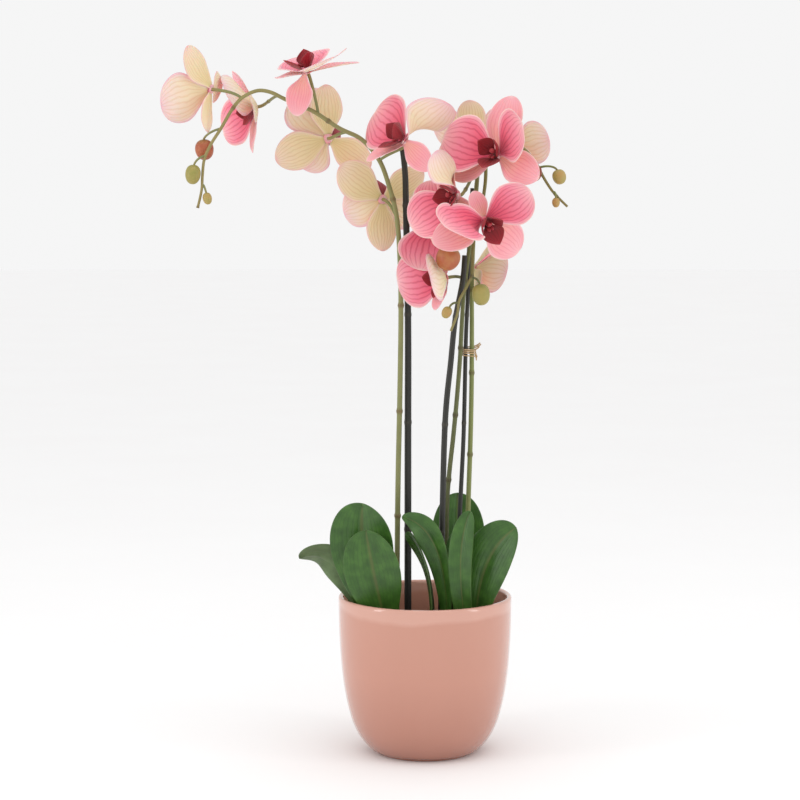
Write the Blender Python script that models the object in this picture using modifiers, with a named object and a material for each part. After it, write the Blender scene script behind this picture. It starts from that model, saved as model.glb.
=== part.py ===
"""Potted orchid: a moth orchid with three flower spikes, black stakes and broad leaves
in a round glazed pot.

Frame: origin at the centre of the pot's flat underside, +Z up, +X to the right and
+Y to the back. Lengths in the tables are in millimetres; Blender gets metres.
"""

import math

import bmesh
import bpy
from mathutils import Matrix, Vector

MM = 0.001
GAP = 0.3                       # clearance left between touching pieces

# ---- pot and growing medium ------------------------------------------------------
POT_HEIGHT = 157.0
POT_WALL = 5.0
POT_FLOOR = 9.0
POT_STEPS = 48
POT_OUTSIDE = [(0.0, 50.0), (2.4, 51.5), (3.4, 55.5), (14.0, 64.5), (26.0, 71.0), (40.0, 75.6),
               (60.0, 80.0), (87.0, 83.5), (120.0, 85.5), (154.5, 86.2)]    # height, radius
MEDIUM_TOP = 119.0
BORE_DEPTH = 70.0
BORE_CLEARANCE = 0.6

# ---- stakes: radius at the foot and at the top, and points from foot to top -------
STAKES = {
    "stake_left": (3.75, 2.8, [(-18, 6, 55), (-17, 5, 311), (-17, 4, 431), (-19, 4, 539),
                               (-20, 4, 576), (-23, 4, 603)]),
    "stake_middle": (3.1, 2.6, [(15, -16, 55), (16, -16, 179), (19, -16, 323), (25, -17, 392),
                                (29, -19, 432), (36, -24, 470), (38, -26, 495)]),
    "stake_right": (2.3, 1.9, [(33, -3, 55), (34, -3, 222), (38, -2, 317), (40, -1, 411),
                               (42, -1, 460), (43, 0, 509), (46, 2, 560)]),
}

# ---- flower spikes: radius at the foot and at the tip, and points from foot to tip -
SPIKES = {
    "spike_left": (2.85, 1.25, [
        (-28, 4, 60), (-28, 3, 150), (-27, -2, 260), (-25, -3, 360), (-24, -4, 440),
        (-25, -4, 490), (-28, -4, 531), (-35, -5, 560), (-45, -8, 587), (-62, -12, 607),
        (-84, -16, 618), (-109, -20, 634), (-135, -25, 645), (-150, -29, 652),
        (-163, -31, 653), (-177, -33, 646), (-187, -34, 634), (-197, -35, 617),
        (-206, -36, 603), (-213, -36, 588), (-215, -36, 572), (-216, -36, 558),
        (-220, -35, 541)]),
    "spike_middle": (2.5, 1.25, [
        (21, 8, 60), (21, 7, 150), (22, 4, 250), (28, -3, 318), (31, -7, 352), (34, -7, 392),
        (36, -7, 431), (38, -7, 461), (44, -5, 509), (49, -3, 548), (52, -4, 583),
        (56, -11, 600), (58, -19, 590), (58, -24, 570), (56, -27, 553), (53, -30, 537),
        (50, -34, 525), (47, -38, 513), (45, -42, 498), (45, -46, 479), (39, -48, 465),
        (32, -50, 452), (30, -50, 439), (24, -50, 423)]),
    "spike_right": (2.7, 1.2, [
        (41, 6, 60), (41, 6, 150), (43, 6, 244), (45, 5, 311), (46, 4, 371), (46, 4, 431),
        (46, 6, 470), (48, 11, 519), (51, 17, 568), (58, 21, 596), (68, 21, 608),
        (82, 19, 608), (95, 14, 600), (104, 10, 591), (110, 6, 582), (115, 3, 572),
        (121, 1, 562), (127, -1, 554), (139, -3, 542)]),
}
STALK_RADIUS = 1.45
STALK_STRAIGHT = 9.0            # how far a stalk runs straight behind its flower

# ---- buds: spike, place along the spike, centre, radius across, half length, lean --
BUDS = [
    ("spike_left", 17.0, (-214, -24, 597), 9.0, 10.0, (0.1, 0.2, -1.0)),
    ("spike_left", 18.8, (-224, -38, 573), 7.4, 9.4, (-0.1, 0.0, -1.0)),
    ("spike_left", 20.6, (-210.5, -36, 550), 4.4, 5.8, (0.2, 0.0, -1.0)),
    ("spike_middle", 17.2, (21, -54, 493), 11.6, 11.8, (-0.4, 0.0, -1.0)),
    ("spike_middle", 19.3, (53, -48, 458), 8.7, 10.4, (0.1, 0.0, -1.0)),
    ("spike_middle", 21.2, (20, -51, 441), 4.8, 5.9, (-0.5, 0.0, -1.0)),
    ("spike_right", 13.0, (106, 2, 575), 8.4, 8.6, (0.0, -0.1, -1.0)),
    ("spike_right", 14.2, (131, -1, 571), 6.7, 7.4, (0.3, 0.0, -1.0)),
    ("spike_right", 16.8, (127.5, -7, 546), 3.9, 4.8, (0.0, -0.2, -1.0)),
]

# ---- leaves: foot, middle and tip of the midrib, the way the upper side looks,
#      half width, fold of the halves in degrees ------------------------------------
LEAVES = {
    "leaf_1": ((-44, -27, 121), (-60, -33, 200), (-61, -38, 254), (-0.3, -1.0, 0.3), 32, 8),
    "leaf_2": ((-35, -38, 121), (-49, -47, 180), (-58, -60, 231), (-0.25, -1.0, 0.35), 28, 10),
    "leaf_3": ((-50, -12, 122), (-86, -9, 187), (-125, -8, 195), (-0.5, 0.6, 0.6), 17, 6),
    "leaf_4": ((21, -29, 121), (12, -35, 205), (-23, -34, 240), (-0.55, -0.5, 0.7), 13, 14),
    "leaf_5": ((8, -27, 121), (2, -26, 185), (-19, -23, 223), (-0.75, -0.1, 0.6), 10, 12),
    "leaf_6": ((34, 26, 121), (34, 32, 195), (33, 38, 254), (0.0, -1.0, 0.2), 27, 10),
    "leaf_7": ((29, -14, 121), (27, -23, 180), (31, -25, 225), (-0.1, -1.0, 0.2), 10, 10),
    "leaf_8": ((42, -47, 121), (34, -51, 195), (43, -49, 248), (-0.3, -1.0, 0.1), 12, 12),
    "leaf_9": ((50, -35, 121), (58, -42, 190), (88, -50, 232), (-0.35, -1.0, 0.35), 25, 10),
}
LEAF_THICKNESS = 1.4
LEAF_STALK = 7.0                # half width of a leaf at its foot

# ---- flowers: centre, azimuth and elevation of the face, roll, degrees that the tepals
#      are closed, size; azimuth 0 faces -Y and 90 faces +X; then the spike and the place
#      along it where the stalk starts
FLOWERS = [
    ((-207, -22, 655), -112, 8, -40, 30, 0.98, "spike_left", 15.0),
    ((-166.8, 33.9, 640.2), -80, -12, 34, 28, 0.94, "spike_left", 12.4),
    ((-113.3, -29.5, 670.4), -60, 68, -20, 0, 0.98, "spike_left", 10.8),
    ((-95.7, 21.9, 609), -165, 5, -112, 6, 1.0, "spike_left", 9.6),
    ((-42, 18, 549), -155, 5, 180, 4, 0.98, "spike_left", 6.0),
    ((-19.6, -45.6, 605), -75, 30, -5, 25, 1.02, "spike_left", 8.0),
    ((68.4, -48.5, 591.2), -32, 18, -5, 10, 1.04, "spike_right", 9.0),
    ((48, 42, 610), 170, 35, 0, 10, 0.85, "spike_right", 8.4),
    ((87.4, 62.4, 600.1), 110, 10, 0, 24, 0.78, "spike_right", 12.0),
    ((29.7, -59.6, 553.2), -55, 0, 45, 14, 1.0, "spike_middle", 10.0),
    ((54.4, -71.7, 529.1), 32, -20, 30, 6, 1.02, "spike_middle", 14.4),
    ((8.5, -14.6, 531.5), -18, -5, 90, 4, 1.1, "spike_middle", 8.6),
    ((19.5, -31.3, 473.4), -60, -8, 8, 22, 0.96, "spike_middle", 7.2),
    ((48.7, 27.1, 480.3), 100, -15, 0, 30, 0.76, "spike_right", 6.1),
]
# Tepals that hang out of line: (flower, tepal angle) and what is added to its lift and
# to its angle, its size, and its twist
BENT_TEPALS = {
    (1, 28): (-16, 0, 1.0, 0),
    (1, 172): (5, 0, 1.0, 0),
    (1, 215): (-2, 0, 1.0, 0),
    (1, 325): (-28, 0, 0.85, 0),
    (2, 28): (-5, 0, 1.0, 0),
    (2, 152): (0, 7, 1.0, 0),
    (2, 172): (6, 0, 1.0, 0),
    (2, 325): (-4, 0, 1.0, 0),
    (3, 8): (0, 20, 1.0, 0),
    (3, 28): (-10, 0, 1.0, 0),
    (3, 215): (13, -8, 1.0, 0),
    (3, 325): (-43, -31, 0.9, -35),
    (4, 8): (0, 52, 0.72, 0),
    (4, 90): (0, 0, 1.12, 0),
    (4, 152): (0, 13, 1.0, 0),
    (4, 215): (0, -18, 1.05, 0),
    (5, 28): (0, 0, 1.0, -16),
    (5, 172): (0, -15, 0.75, 0),
    (5, 215): (0, -3, 1.25, 0),
    (6, 8): (-50, 27, 1.04, -60),
    (6, 28): (-11, 0, 1.0, 0),
    (6, 90): (-31, 45, 0.78, 0),
    (6, 172): (-20, -19, 1.0, -1),
    (6, 215): (18, 31, 0.82, 0),
    (6, 325): (-66, 10, 0.8, 0),
    (7, 8): (14, 25, 0.95, 0),
    (7, 90): (0, 0, 1.12, 0),
    (7, 152): (-11, 0, 1.0, 0),
    (7, 215): (0, -9, 1.0, 0),
    (7, 325): (0, 14, 1.0, 0),
    (8, 28): (0, 0, 1.0, 0),
    (8, 152): (0, 2, 0.9, 8),
    (9, 8): (0, 0, 1.0, -3),
    (9, 28): (0, 0, 0.97, 0),
    (9, 152): (0, 11, 1.0, 0),
    (9, 172): (10, 0, 1.0, 5),
    (9, 325): (-5, 0, 1.0, 0),
    (10, 8): (0, 15, 0.85, -75),
    (10, 90): (-16, 14, 0.81, 14),
    (10, 152): (-9, 0, 1.0, 0),
    (10, 172): (12, 8, 1.0, 0),
    (10, 215): (16, -15, 1.0, 1),
    (10, 270): (0, -12, 1.0, 0),
    (10, 325): (-29, -63, 0.6, 2),
    (11, 8): (0, 8, 0.95, 0),
    (11, 90): (-19, -5, 0.54, -5),
    (11, 152): (-12, 0, 1.0, 0),
    (11, 172): (-2, -13, 1.1, 48),
    (11, 215): (-2, -38, 1.05, 46),
    (11, 325): (0, -28, 1.25, 0),
    (12, 8): (-30, 0, 0.6, 0),
    (12, 90): (-48, 48, 0.9, 14),
    (12, 152): (-13, 0, 1.0, 0),
    (12, 172): (12, 0, 0.8, 0),
    (12, 215): (-10, 19, 0.75, 0),
    (12, 325): (-40, 0, 0.6, 0),
    (13, 8): (18, 0, 0.88, 0),
    (13, 90): (-45, 0, 0.8, 0),
    (13, 152): (-7, 3, 1.0, 0),
    (13, 172): (0, 0, 1.03, -4),
    (13, 215): (-22, -39, 1.0, -47),
    (13, 270): (1, 0, 0.94, 0),
    (13, 325): (26, -57, 0.68, -5),
    (14, 8): (0, -3, 1.0, -2),
    (14, 28): (0, 0, 1.0, 25),
    (14, 152): (-9, 0, 1.0, 0),
    (14, 172): (0, 2, 1.0, -1),
    (14, 215): (-13, 0, 1.0, 0),
    (14, 325): (-11, 4, 1.0, 0),
}

# Tepals: angle round the face, length, half width, half width at the foot, place of the
# widest point, blunt end (0 pointed to 1 round), lift of the foot and curl along it in
# degrees, and the hollow across it
SEPALS = [(90, 48, 17.0, 4.0, 0.50, 0.75, -5, -10, 0.10),
          (215, 47, 16.0, 4.0, 0.48, 0.70, -6, -12, 0.10),
          (325, 47, 16.0, 4.0, 0.48, 0.70, -6, -12, 0.10)]
PETALS = [(8, 50, 28.0, 4.5, 0.56, 1.00, 9, 4, 0.12),
          (172, 50, 28.0, 4.5, 0.56, 1.00, 9, 4, 0.12)]
LIP = [(270, 23, 11.5, 2.2, 0.50, 0.30, 30, 30, 0.30),
       (28, 20, 9.0, 2.0, 0.55, 0.30, 56, 24, 0.35),
       (152, 20, 9.0, 2.0, 0.55, 0.30, 56, 24, 0.35)]
LAYERS = {"sepals": (SEPALS, 0.0, 4.2, 4, 2), "petals": (PETALS, 1.9, 3.8, 5, 2),
          "lip": (LIP, 3.8, 2.6, 3, 2)}      # tepals, height, hub radius, grid along, across
TEPAL_THICKNESS = 1.0

# ---- raffia tie round the right stake and the right spike --------------------------
TIE_HEIGHT = 400.0
TIE_RADIUS = 0.75
TIE_TURNS = 2
TIE_LEAD = 2.2

PIECES = bpy.data.collections.new("potted_orchid")
CUTTERS = bpy.data.collections.new("cutters")


# ---- helpers -----------------------------------------------------------------------
def clear_scene():
    for thing in list(bpy.data.objects):
        bpy.data.objects.remove(thing)


def material(name, colour, roughness, metallic=0.0):
    made = bpy.data.materials.new(name)
    made.use_nodes = True
    shader = made.node_tree.nodes["Principled BSDF"]
    shader.inputs["Base Color"].default_value = (*colour, 1.0)
    shader.inputs["Roughness"].default_value = roughness
    shader.inputs["Metallic"].default_value = metallic
    return made


def add_object(name, data, collection, surface=None):
    made = bpy.data.objects.new(name, data)
    collection.objects.link(made)
    if surface:
        data.materials.append(surface)
    return made


def shade_smooth(mesh, angle=40.0):
    mesh.shade_smooth()
    mesh.set_sharp_from_angle(angle=math.radians(angle))


def on_curve(points, place):
    """The point at `place` (2.5 is half way from the third to the fourth) on the
    Catmull-Rom curve through the points."""
    last = len(points) - 1
    index = min(int(place), last - 1)
    part = place - index
    p0, p1, p2, p3 = (Vector(points[min(max(index + k, 0), last)]) for k in (-1, 0, 1, 2))
    return 0.5 * (2 * p1 + (p2 - p0) * part + (2 * p0 - 5 * p1 + 4 * p2 - p3) * part ** 2
                  + (3 * p1 - p0 - 3 * p2 + p3) * part ** 3)


def smooth_path(points, steps):
    count = (len(points) - 1) * steps
    return [on_curve(points, k / steps) for k in range(count + 1)]


def bezier(p0, p1, p2, p3, steps):
    path = []
    for k in range(steps + 1):
        t = k / steps
        path.append(p0 * (1 - t) ** 3 + p1 * 3 * t * (1 - t) ** 2
                    + p2 * 3 * t * t * (1 - t) + p3 * t ** 3)
    return path


def tube(name, path, start_radius, end_radius, collection, surface=None, sides=1):
    """A round rod along the path, its radius running evenly from end to end."""
    curve = bpy.data.curves.new(name, "CURVE")
    curve.dimensions = "3D"
    curve.bevel_depth = start_radius * MM
    curve.bevel_resolution = sides
    curve.use_fill_caps = True
    spline = curve.splines.new("POLY")
    spline.points.add(len(path) - 1)
    for k, (point, place) in enumerate(zip(spline.points, path)):
        point.co = (*(place * MM), 1.0)
        share = k / (len(path) - 1)
        point.radius = 1 + (end_radius / start_radius - 1) * share
    return add_object(name, curve, collection, surface)


def curve_to_mesh(thing, collection):
    """The curve object as a welded mesh object of the same name and place."""
    name = thing.name
    ready = thing.evaluated_get(bpy.context.evaluated_depsgraph_get())
    mesh = bpy.data.meshes.new_from_object(ready)
    place = thing.matrix_world.copy()
    curve = thing.data
    bpy.data.objects.remove(thing)
    bpy.data.curves.remove(curve)
    work = bmesh.new()
    work.from_mesh(mesh)
    bmesh.ops.remove_doubles(work, verts=work.verts, dist=1e-6)
    work.to_mesh(mesh)
    work.free()
    made = bpy.data.objects.new(name, mesh)
    made.matrix_world = place
    collection.objects.link(made)
    return made


def hide_cutter(thing):
    thing.hide_render = True
    thing.display_type = "WIRE"


def add_boolean(target, cutters, operation):
    """One Boolean for all the cutters, which get a collection of their own."""
    group = bpy.data.collections.new(target.name + "_" + operation.lower())
    CUTTERS.children.link(group)
    for cutter in cutters:
        for held in list(cutter.users_collection):
            held.objects.unlink(cutter)
        group.objects.link(cutter)
        hide_cutter(cutter)
    cut = target.modifiers.new(operation.lower(), "BOOLEAN")
    cut.operation = operation
    cut.operand_type = "COLLECTION"
    cut.collection = group
    cut.solver = "EXACT"


# ---- pot and medium ----------------------------------------------------------------
def turned(name, profile, surface):
    """A body turned about Z; the profile runs down its outer side and ends on the axis."""
    mesh = bpy.data.meshes.new(name)
    rings = [(radius * MM, 0.0, height * MM) for height, radius in profile]
    mesh.from_pydata(rings, [(k, k + 1) for k in range(len(rings) - 1)], [])
    made = add_object(name, mesh, PIECES, surface)
    turn = made.modifiers.new("turn", "SCREW")
    turn.axis = "Z"
    turn.steps = POT_STEPS
    turn.render_steps = POT_STEPS
    turn.use_merge_vertices = True
    turn.merge_threshold = 0.00001
    turn.use_smooth_shade = True
    return made


def outer_radius(height):
    for (low, r_low), (high, r_high) in zip(POT_OUTSIDE, POT_OUTSIDE[1:]):
        if height <= high:
            return r_low + (r_high - r_low) * (height - low) / (high - low)
    return POT_OUTSIDE[-1][1]


def inner_radius(height):
    return outer_radius(height) - POT_WALL


def make_pot(surface):
    lip = POT_WALL / 2
    rim = [(POT_HEIGHT - lip + lip * math.sin(math.radians(a)),
            POT_OUTSIDE[-1][1] - lip + lip * math.cos(math.radians(a)))
           for a in (180, 135, 90, 45)]
    inside = [(POT_FLOOR, 0.0), (POT_FLOOR, 52.0), (14.0, inner_radius(14.0)),
              (26.0, inner_radius(26.0)), (40.0, inner_radius(40.0)), (60.0, inner_radius(60.0)),
              (87.0, inner_radius(87.0)), (120.0, inner_radius(120.0))]
    outside = list(reversed(POT_OUTSIDE)) + [(0.0, 0.0)]
    turned("pot", inside + rim + outside, surface)


def make_medium(surface, holes):
    sides = [(h, inner_radius(h) - GAP) for h in (87.0, 60.0, 40.0, 26.0, 15.0)]
    profile = [(MEDIUM_TOP, 0.0), (MEDIUM_TOP, inner_radius(MEDIUM_TOP) - GAP), *sides,
               (POT_FLOOR + GAP, 50.0), (POT_FLOOR + GAP, 0.0)]
    medium = turned("growing_medium", profile, surface)
    cutters = []
    for name, (x, y, radius) in holes.items():
        bpy.ops.mesh.primitive_cylinder_add(
            vertices=12, radius=(radius + BORE_CLEARANCE) * MM, depth=BORE_DEPTH * MM,
            location=(x * MM, y * MM, MEDIUM_TOP * MM))
        cutter = bpy.context.object
        cutter.name = name + "_bore"
        cutters.append(cutter)
    add_boolean(medium, cutters, "DIFFERENCE")


# ---- stakes, spikes and tie ----------------------------------------------------------
def above_bore(points):
    """The path with its foot standing upright in the medium, clear of the bore's end."""
    foot = Vector(points[1])
    low = MEDIUM_TOP - BORE_DEPTH / 2 + 3.0
    top = MEDIUM_TOP + 6.0
    return [Vector((foot.x, foot.y, low)), Vector((foot.x, foot.y, top)), foot,
            *points[2:]]


def make_stakes(surface):
    for name, (foot_radius, top_radius, points) in STAKES.items():
        path = [Vector(p) for p in above_bore(points)]
        tube(name, path, foot_radius, top_radius, PIECES, surface, sides=2)


def make_bud(name, centre, radius, half_length, lean):
    bpy.ops.mesh.primitive_uv_sphere_add(segments=8, ring_count=6, radius=1.0)
    bud = bpy.context.object
    bud.name = name
    turn = Vector(lean).to_track_quat("Z", "Y").to_matrix().to_4x4()
    size = Matrix.Diagonal((radius * MM, radius * MM, half_length * MM, 1.0))
    bud.data.transform(Matrix.Translation(Vector(centre) * MM) @ turn @ size)
    return bud


def make_spikes(surface, faces):
    """Each spike with its flower stalks and buds, joined as it grew."""
    for name, (foot_radius, tip_radius, points) in SPIKES.items():
        path = smooth_path(above_bore(points), 2)
        main = tube(name, path, foot_radius, tip_radius, PIECES)
        main = curve_to_mesh(main, PIECES)
        main.data.materials.append(surface)
        twigs = []
        for k, (*_, spike, place) in enumerate(FLOWERS, 1):
            if spike != name:
                continue
            hub, face = faces[k]
            foot = on_curve([Vector(p) for p in points], place)
            end = hub - face * (TEPAL_THICKNESS / 2 + GAP)
            far = hub - face * STALK_STRAIGHT
            near = hub - face * 3.5
            bend = foot + (far - foot) * 0.35 + Vector((0, 0, 4))
            stalk = [*bezier(foot, bend, far, near, 4), end]
            twigs.append(tube("stalk_%02d" % k, stalk, STALK_RADIUS, STALK_RADIUS * 1.2, CUTTERS))
        for k, (spike, place, centre, radius, half_length, lean) in enumerate(BUDS, 1):
            if spike != name:
                continue
            foot = on_curve([Vector(p) for p in points], place)
            top = Vector(centre) - Vector(lean).normalized() * half_length * 0.8
            far = top - Vector(lean).normalized() * 5
            stalk = bezier(foot, foot + (far - foot) * 0.5 + Vector((0, 0, 2)), far, top, 4)
            twigs.append(tube("bud_stalk_%02d" % k, stalk, 1.2, 1.0, CUTTERS))
        twigs = [curve_to_mesh(twig, CUTTERS) for twig in twigs]
        for k, (spike, place, centre, radius, half_length, lean) in enumerate(BUDS, 1):
            if spike == name:
                twigs.append(make_bud("bud_%02d" % k, centre, radius, half_length, lean))
        add_boolean(main, twigs, "UNION")
        shade_smooth(main.data)


def place_at_height(points, height):
    """The point of a path at a height, on its rising part."""
    for low, high in zip(points, points[1:]):
        if low[2] <= height <= high[2]:
            return Vector(low).lerp(Vector(high), (height - low[2]) / (high[2] - low[2]))
    raise ValueError("the path never reaches that height")


def make_tie(surface):
    stake = place_at_height(STAKES["stake_right"][2], TIE_HEIGHT)
    stem = place_at_height(SPIKES["spike_right"][2], TIE_HEIGHT)
    middle = (stake + stem) / 2
    along = (stem - stake).normalized()
    across = Vector((0, 0, 1)).cross(along)
    reach = (stem - stake).length / 2 + SPIKES["spike_right"][0] + GAP + TIE_RADIUS + 0.6
    girth = SPIKES["spike_right"][0] + GAP + TIE_RADIUS + 0.8
    start = middle + along * (reach + 7) - across * 2 + Vector((0, 0, 7))
    path = [start, middle + along * (reach + 3) - across * 1 + Vector((0, 0, 4.5))]
    sides = 12
    for k in range(sides * TIE_TURNS + 1):
        turn = 2 * math.pi * k / sides
        rise = 3.0 - TIE_LEAD * k / sides
        path.append(middle + along * reach * math.cos(turn) + across * girth * math.sin(turn)
                    + Vector((0, 0, rise)))
    path.append(middle + along * (reach + 2.5) + across * 2.5 + Vector((0, 0, -3.5)))
    path.append(middle + along * (reach + 5) + across * 3 + Vector((0, 0, -9)))
    tube("raffia_tie", path, TIE_RADIUS, TIE_RADIUS, PIECES, surface)


# ---- leaves and flowers ---------------------------------------------------------------
def outline(share, foot, width, widest, blunt):
    """Half width of a blade at a share of its length."""
    if share < widest:
        return foot + (width - foot) * math.sin(math.pi / 2 * share / widest) ** 1.3
    fall = (share - widest) / (1 - widest)
    return width * max(0.0, 1 - fall ** 2) ** (0.85 - 0.35 * blunt)


def even_to_tip(step, count):
    """Stations that crowd towards the tip, where the outline turns fastest."""
    return math.sin(math.pi / 2 * step / count) ** 1.1


def make_leaves(surface):
    for name, (foot, middle, tip, up, width, fold) in LEAVES.items():
        foot, middle, tip = Vector(foot), Vector(middle), Vector(tip)
        control = middle * 2 - (foot + tip) / 2
        up = Vector(up).normalized()
        work = bmesh.new()
        bmesh.ops.create_grid(work, x_segments=7, y_segments=2, size=1.0)
        for vertex in work.verts:
            s = even_to_tip((vertex.co.x + 1) / 2 * 7, 7)
            t = vertex.co.y
            spine = foot * (1 - s) ** 2 + control * 2 * s * (1 - s) + tip * s * s
            way = ((control - foot) * (1 - s) + (tip - control) * s).normalized()
            side = up.cross(way).normalized()
            normal = way.cross(side)
            half = outline(s, LEAF_STALK, width, 0.6, 1.0)
            rise = abs(t) * half * math.tan(math.radians(fold))
            vertex.co = (spine + side * (half * t) + normal * rise) * MM
        bmesh.ops.remove_doubles(work, verts=work.verts, dist=1e-5)
        mesh = bpy.data.meshes.new(name)
        work.to_mesh(mesh)
        work.free()
        leaf = add_object(name, mesh, PIECES, surface)
        give_thickness(leaf, LEAF_THICKNESS)


def give_thickness(thing, thickness):
    wall = thing.modifiers.new("thickness", "SOLIDIFY")
    wall.thickness = thickness * MM
    wall.offset = 0.0
    shade_smooth(thing.data)


def tepal_point(tepal, closed, bent, hub_radius, s, t):
    """A point of one tepal in the flower's frame, which faces +Z with its top at +Y."""
    angle, length, width, foot, widest, blunt, lift, curl, hollow = tepal
    more_lift, more_turn, size, twist = bent
    start = math.radians(lift + closed + more_lift)
    bend = math.radians(curl)
    slope = start + bend * s
    along = hub_radius + size * length * (math.sin(slope) - math.sin(start)) / bend
    height = size * length * (math.cos(start) - math.cos(slope)) / bend
    half = outline(s, foot, size * width, widest, blunt)
    roll = math.radians(twist) * min(1.0, 2.5 * s)
    rise = hollow * half * t * t * min(1.0, 4 * s)
    across = half * t * math.cos(roll) - rise * math.sin(roll)
    out = half * t * math.sin(roll) + rise * math.cos(roll)
    x = along - out * math.sin(slope)
    turn = math.radians(angle + more_turn)
    return Vector((x * math.cos(turn) - across * math.sin(turn),
                   x * math.sin(turn) + across * math.cos(turn),
                   height + out * math.cos(slope)))


def turned_angle(number, tepal):
    """The tepal's angle round the face in its own flower, from 0 to 360."""
    return (tepal[0] + BENT_TEPALS.get((number, tepal[0]), (0, 0))[1]) % 360


def flower_layer(number, layer, closed, size):
    """One layer of a flower: its tepals on a common flat hub, in one surface."""
    tepals, height, hub_radius, along, across = LAYERS[layer]
    closed = 0 if layer == "lip" else closed
    work = bmesh.new()
    rim = []
    for tepal in sorted(tepals, key=lambda one: turned_angle(number, one)):
        made = bmesh.ops.create_grid(work, x_segments=along, y_segments=across, size=1.0)
        bent = BENT_TEPALS.get((number, tepal[0]), (0, 0, 1.0, 0))
        foot = []
        for vertex in made["verts"]:
            step = (vertex.co.x + 1) / 2 * along
            s = even_to_tip(step, along)
            t = vertex.co.y
            point = tepal_point(tepal, closed, bent, hub_radius, s, t)
            point.z += height
            vertex.co = point * (size * MM)
            if step < 0.01:
                foot.append((t, vertex))
        rim += [vertex for _, vertex in sorted(foot, key=lambda pair: pair[0])]
    work.faces.new(rim)
    bmesh.ops.remove_doubles(work, verts=work.verts, dist=1e-5)
    mesh = bpy.data.meshes.new("%s_%02d" % (layer, number))
    work.to_mesh(mesh)
    work.free()
    return mesh


def flower_turn(azimuth, elevation, roll):
    return (Matrix.Rotation(math.radians(azimuth), 4, "Z")
            @ Matrix.Rotation(math.radians(90 - elevation), 4, "X")
            @ Matrix.Rotation(math.radians(roll), 4, "Z"))


def make_flowers(surfaces):
    """Three pieces for each flower, on an empty at its centre; gives the centres and
    the ways the flowers face."""
    faces = {}
    for k, (centre, azimuth, elevation, roll, closed, size, _, _) in enumerate(FLOWERS, 1):
        turn = flower_turn(azimuth, elevation, roll)
        stand = add_object("flower_%02d" % k, None, PIECES)
        stand.matrix_world = Matrix.Translation(Vector(centre) * MM) @ turn
        for layer, surface in surfaces.items():
            name = "flower_%02d_%s" % (k, layer)
            piece = add_object(name, flower_layer(k, layer, closed, size), PIECES, surface)
            piece.parent = stand
            give_thickness(piece, TEPAL_THICKNESS)
        faces[k] = (Vector(centre), turn.to_3x3() @ Vector((0, 0, 1)))
    return faces


def bore_places():
    holes = {}
    for name, (radius, _, points) in [*STAKES.items(), *SPIKES.items()]:
        holes[name] = (points[1][0], points[1][1], radius)
    return holes


def main():
    clear_scene()
    bpy.context.scene.collection.children.link(PIECES)
    bpy.context.scene.collection.children.link(CUTTERS)
    glaze = material("glazed_pot", (0.72, 0.38, 0.30), 0.15)
    bark = material("bark", (0.11, 0.06, 0.035), 0.9)
    lacquer = material("stake_lacquer", (0.03, 0.03, 0.025), 0.4)
    green = material("spike_green", (0.27, 0.31, 0.09), 0.5)
    leaf = material("leaf_green", (0.06, 0.15, 0.03), 0.4)
    raffia = material("raffia", (0.51, 0.34, 0.19), 0.8)
    sepal = material("sepal_cream", (0.86, 0.55, 0.42), 0.5)
    petal = material("petal_pink", (0.90, 0.25, 0.33), 0.5)
    lip = material("lip_red", (0.40, 0.01, 0.02), 0.4)
    make_pot(glaze)
    make_medium(bark, bore_places())
    make_stakes(lacquer)
    faces = make_flowers({"sepals": sepal, "petals": petal, "lip": lip})
    make_spikes(green, faces)
    make_tie(raffia)
    make_leaves(leaf)


main()
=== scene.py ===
"""Looks of a potted moth orchid: glazed pot, bark, leaves, staked flower spikes, flowers and buds."""

import math
import random

import bmesh
import bpy
import numpy as np
from mathutils import Matrix, Vector


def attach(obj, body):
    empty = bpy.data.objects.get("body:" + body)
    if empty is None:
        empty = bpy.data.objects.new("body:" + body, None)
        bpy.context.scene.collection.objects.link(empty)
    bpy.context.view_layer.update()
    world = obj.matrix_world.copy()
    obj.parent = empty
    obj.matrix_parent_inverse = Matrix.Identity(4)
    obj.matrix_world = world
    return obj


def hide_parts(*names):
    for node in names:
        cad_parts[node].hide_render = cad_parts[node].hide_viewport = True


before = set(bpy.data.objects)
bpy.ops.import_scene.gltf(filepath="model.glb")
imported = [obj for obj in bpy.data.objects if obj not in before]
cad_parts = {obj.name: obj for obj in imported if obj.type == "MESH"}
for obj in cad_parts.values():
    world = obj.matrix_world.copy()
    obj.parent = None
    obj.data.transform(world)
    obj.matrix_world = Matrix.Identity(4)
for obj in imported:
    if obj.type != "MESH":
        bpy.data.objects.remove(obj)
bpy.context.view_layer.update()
MM = 0.001
TEPAL_THICKNESS = 1.0

# ---- pot: height and radius of its outside, in mm -----------------------------------
POT_OUTSIDE = [(0.0, 50.0), (2.4, 51.5), (3.4, 55.5), (14.0, 64.5), (26.0, 71.0), (40.0, 75.6),
               (60.0, 80.0), (87.0, 83.5), (120.0, 85.5), (154.5, 86.2)]
POT_HEIGHT = 157.0
POT_WALL = 5.0
POT_FLOOR = 9.0
MEDIUM_TOP = 119.0

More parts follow.
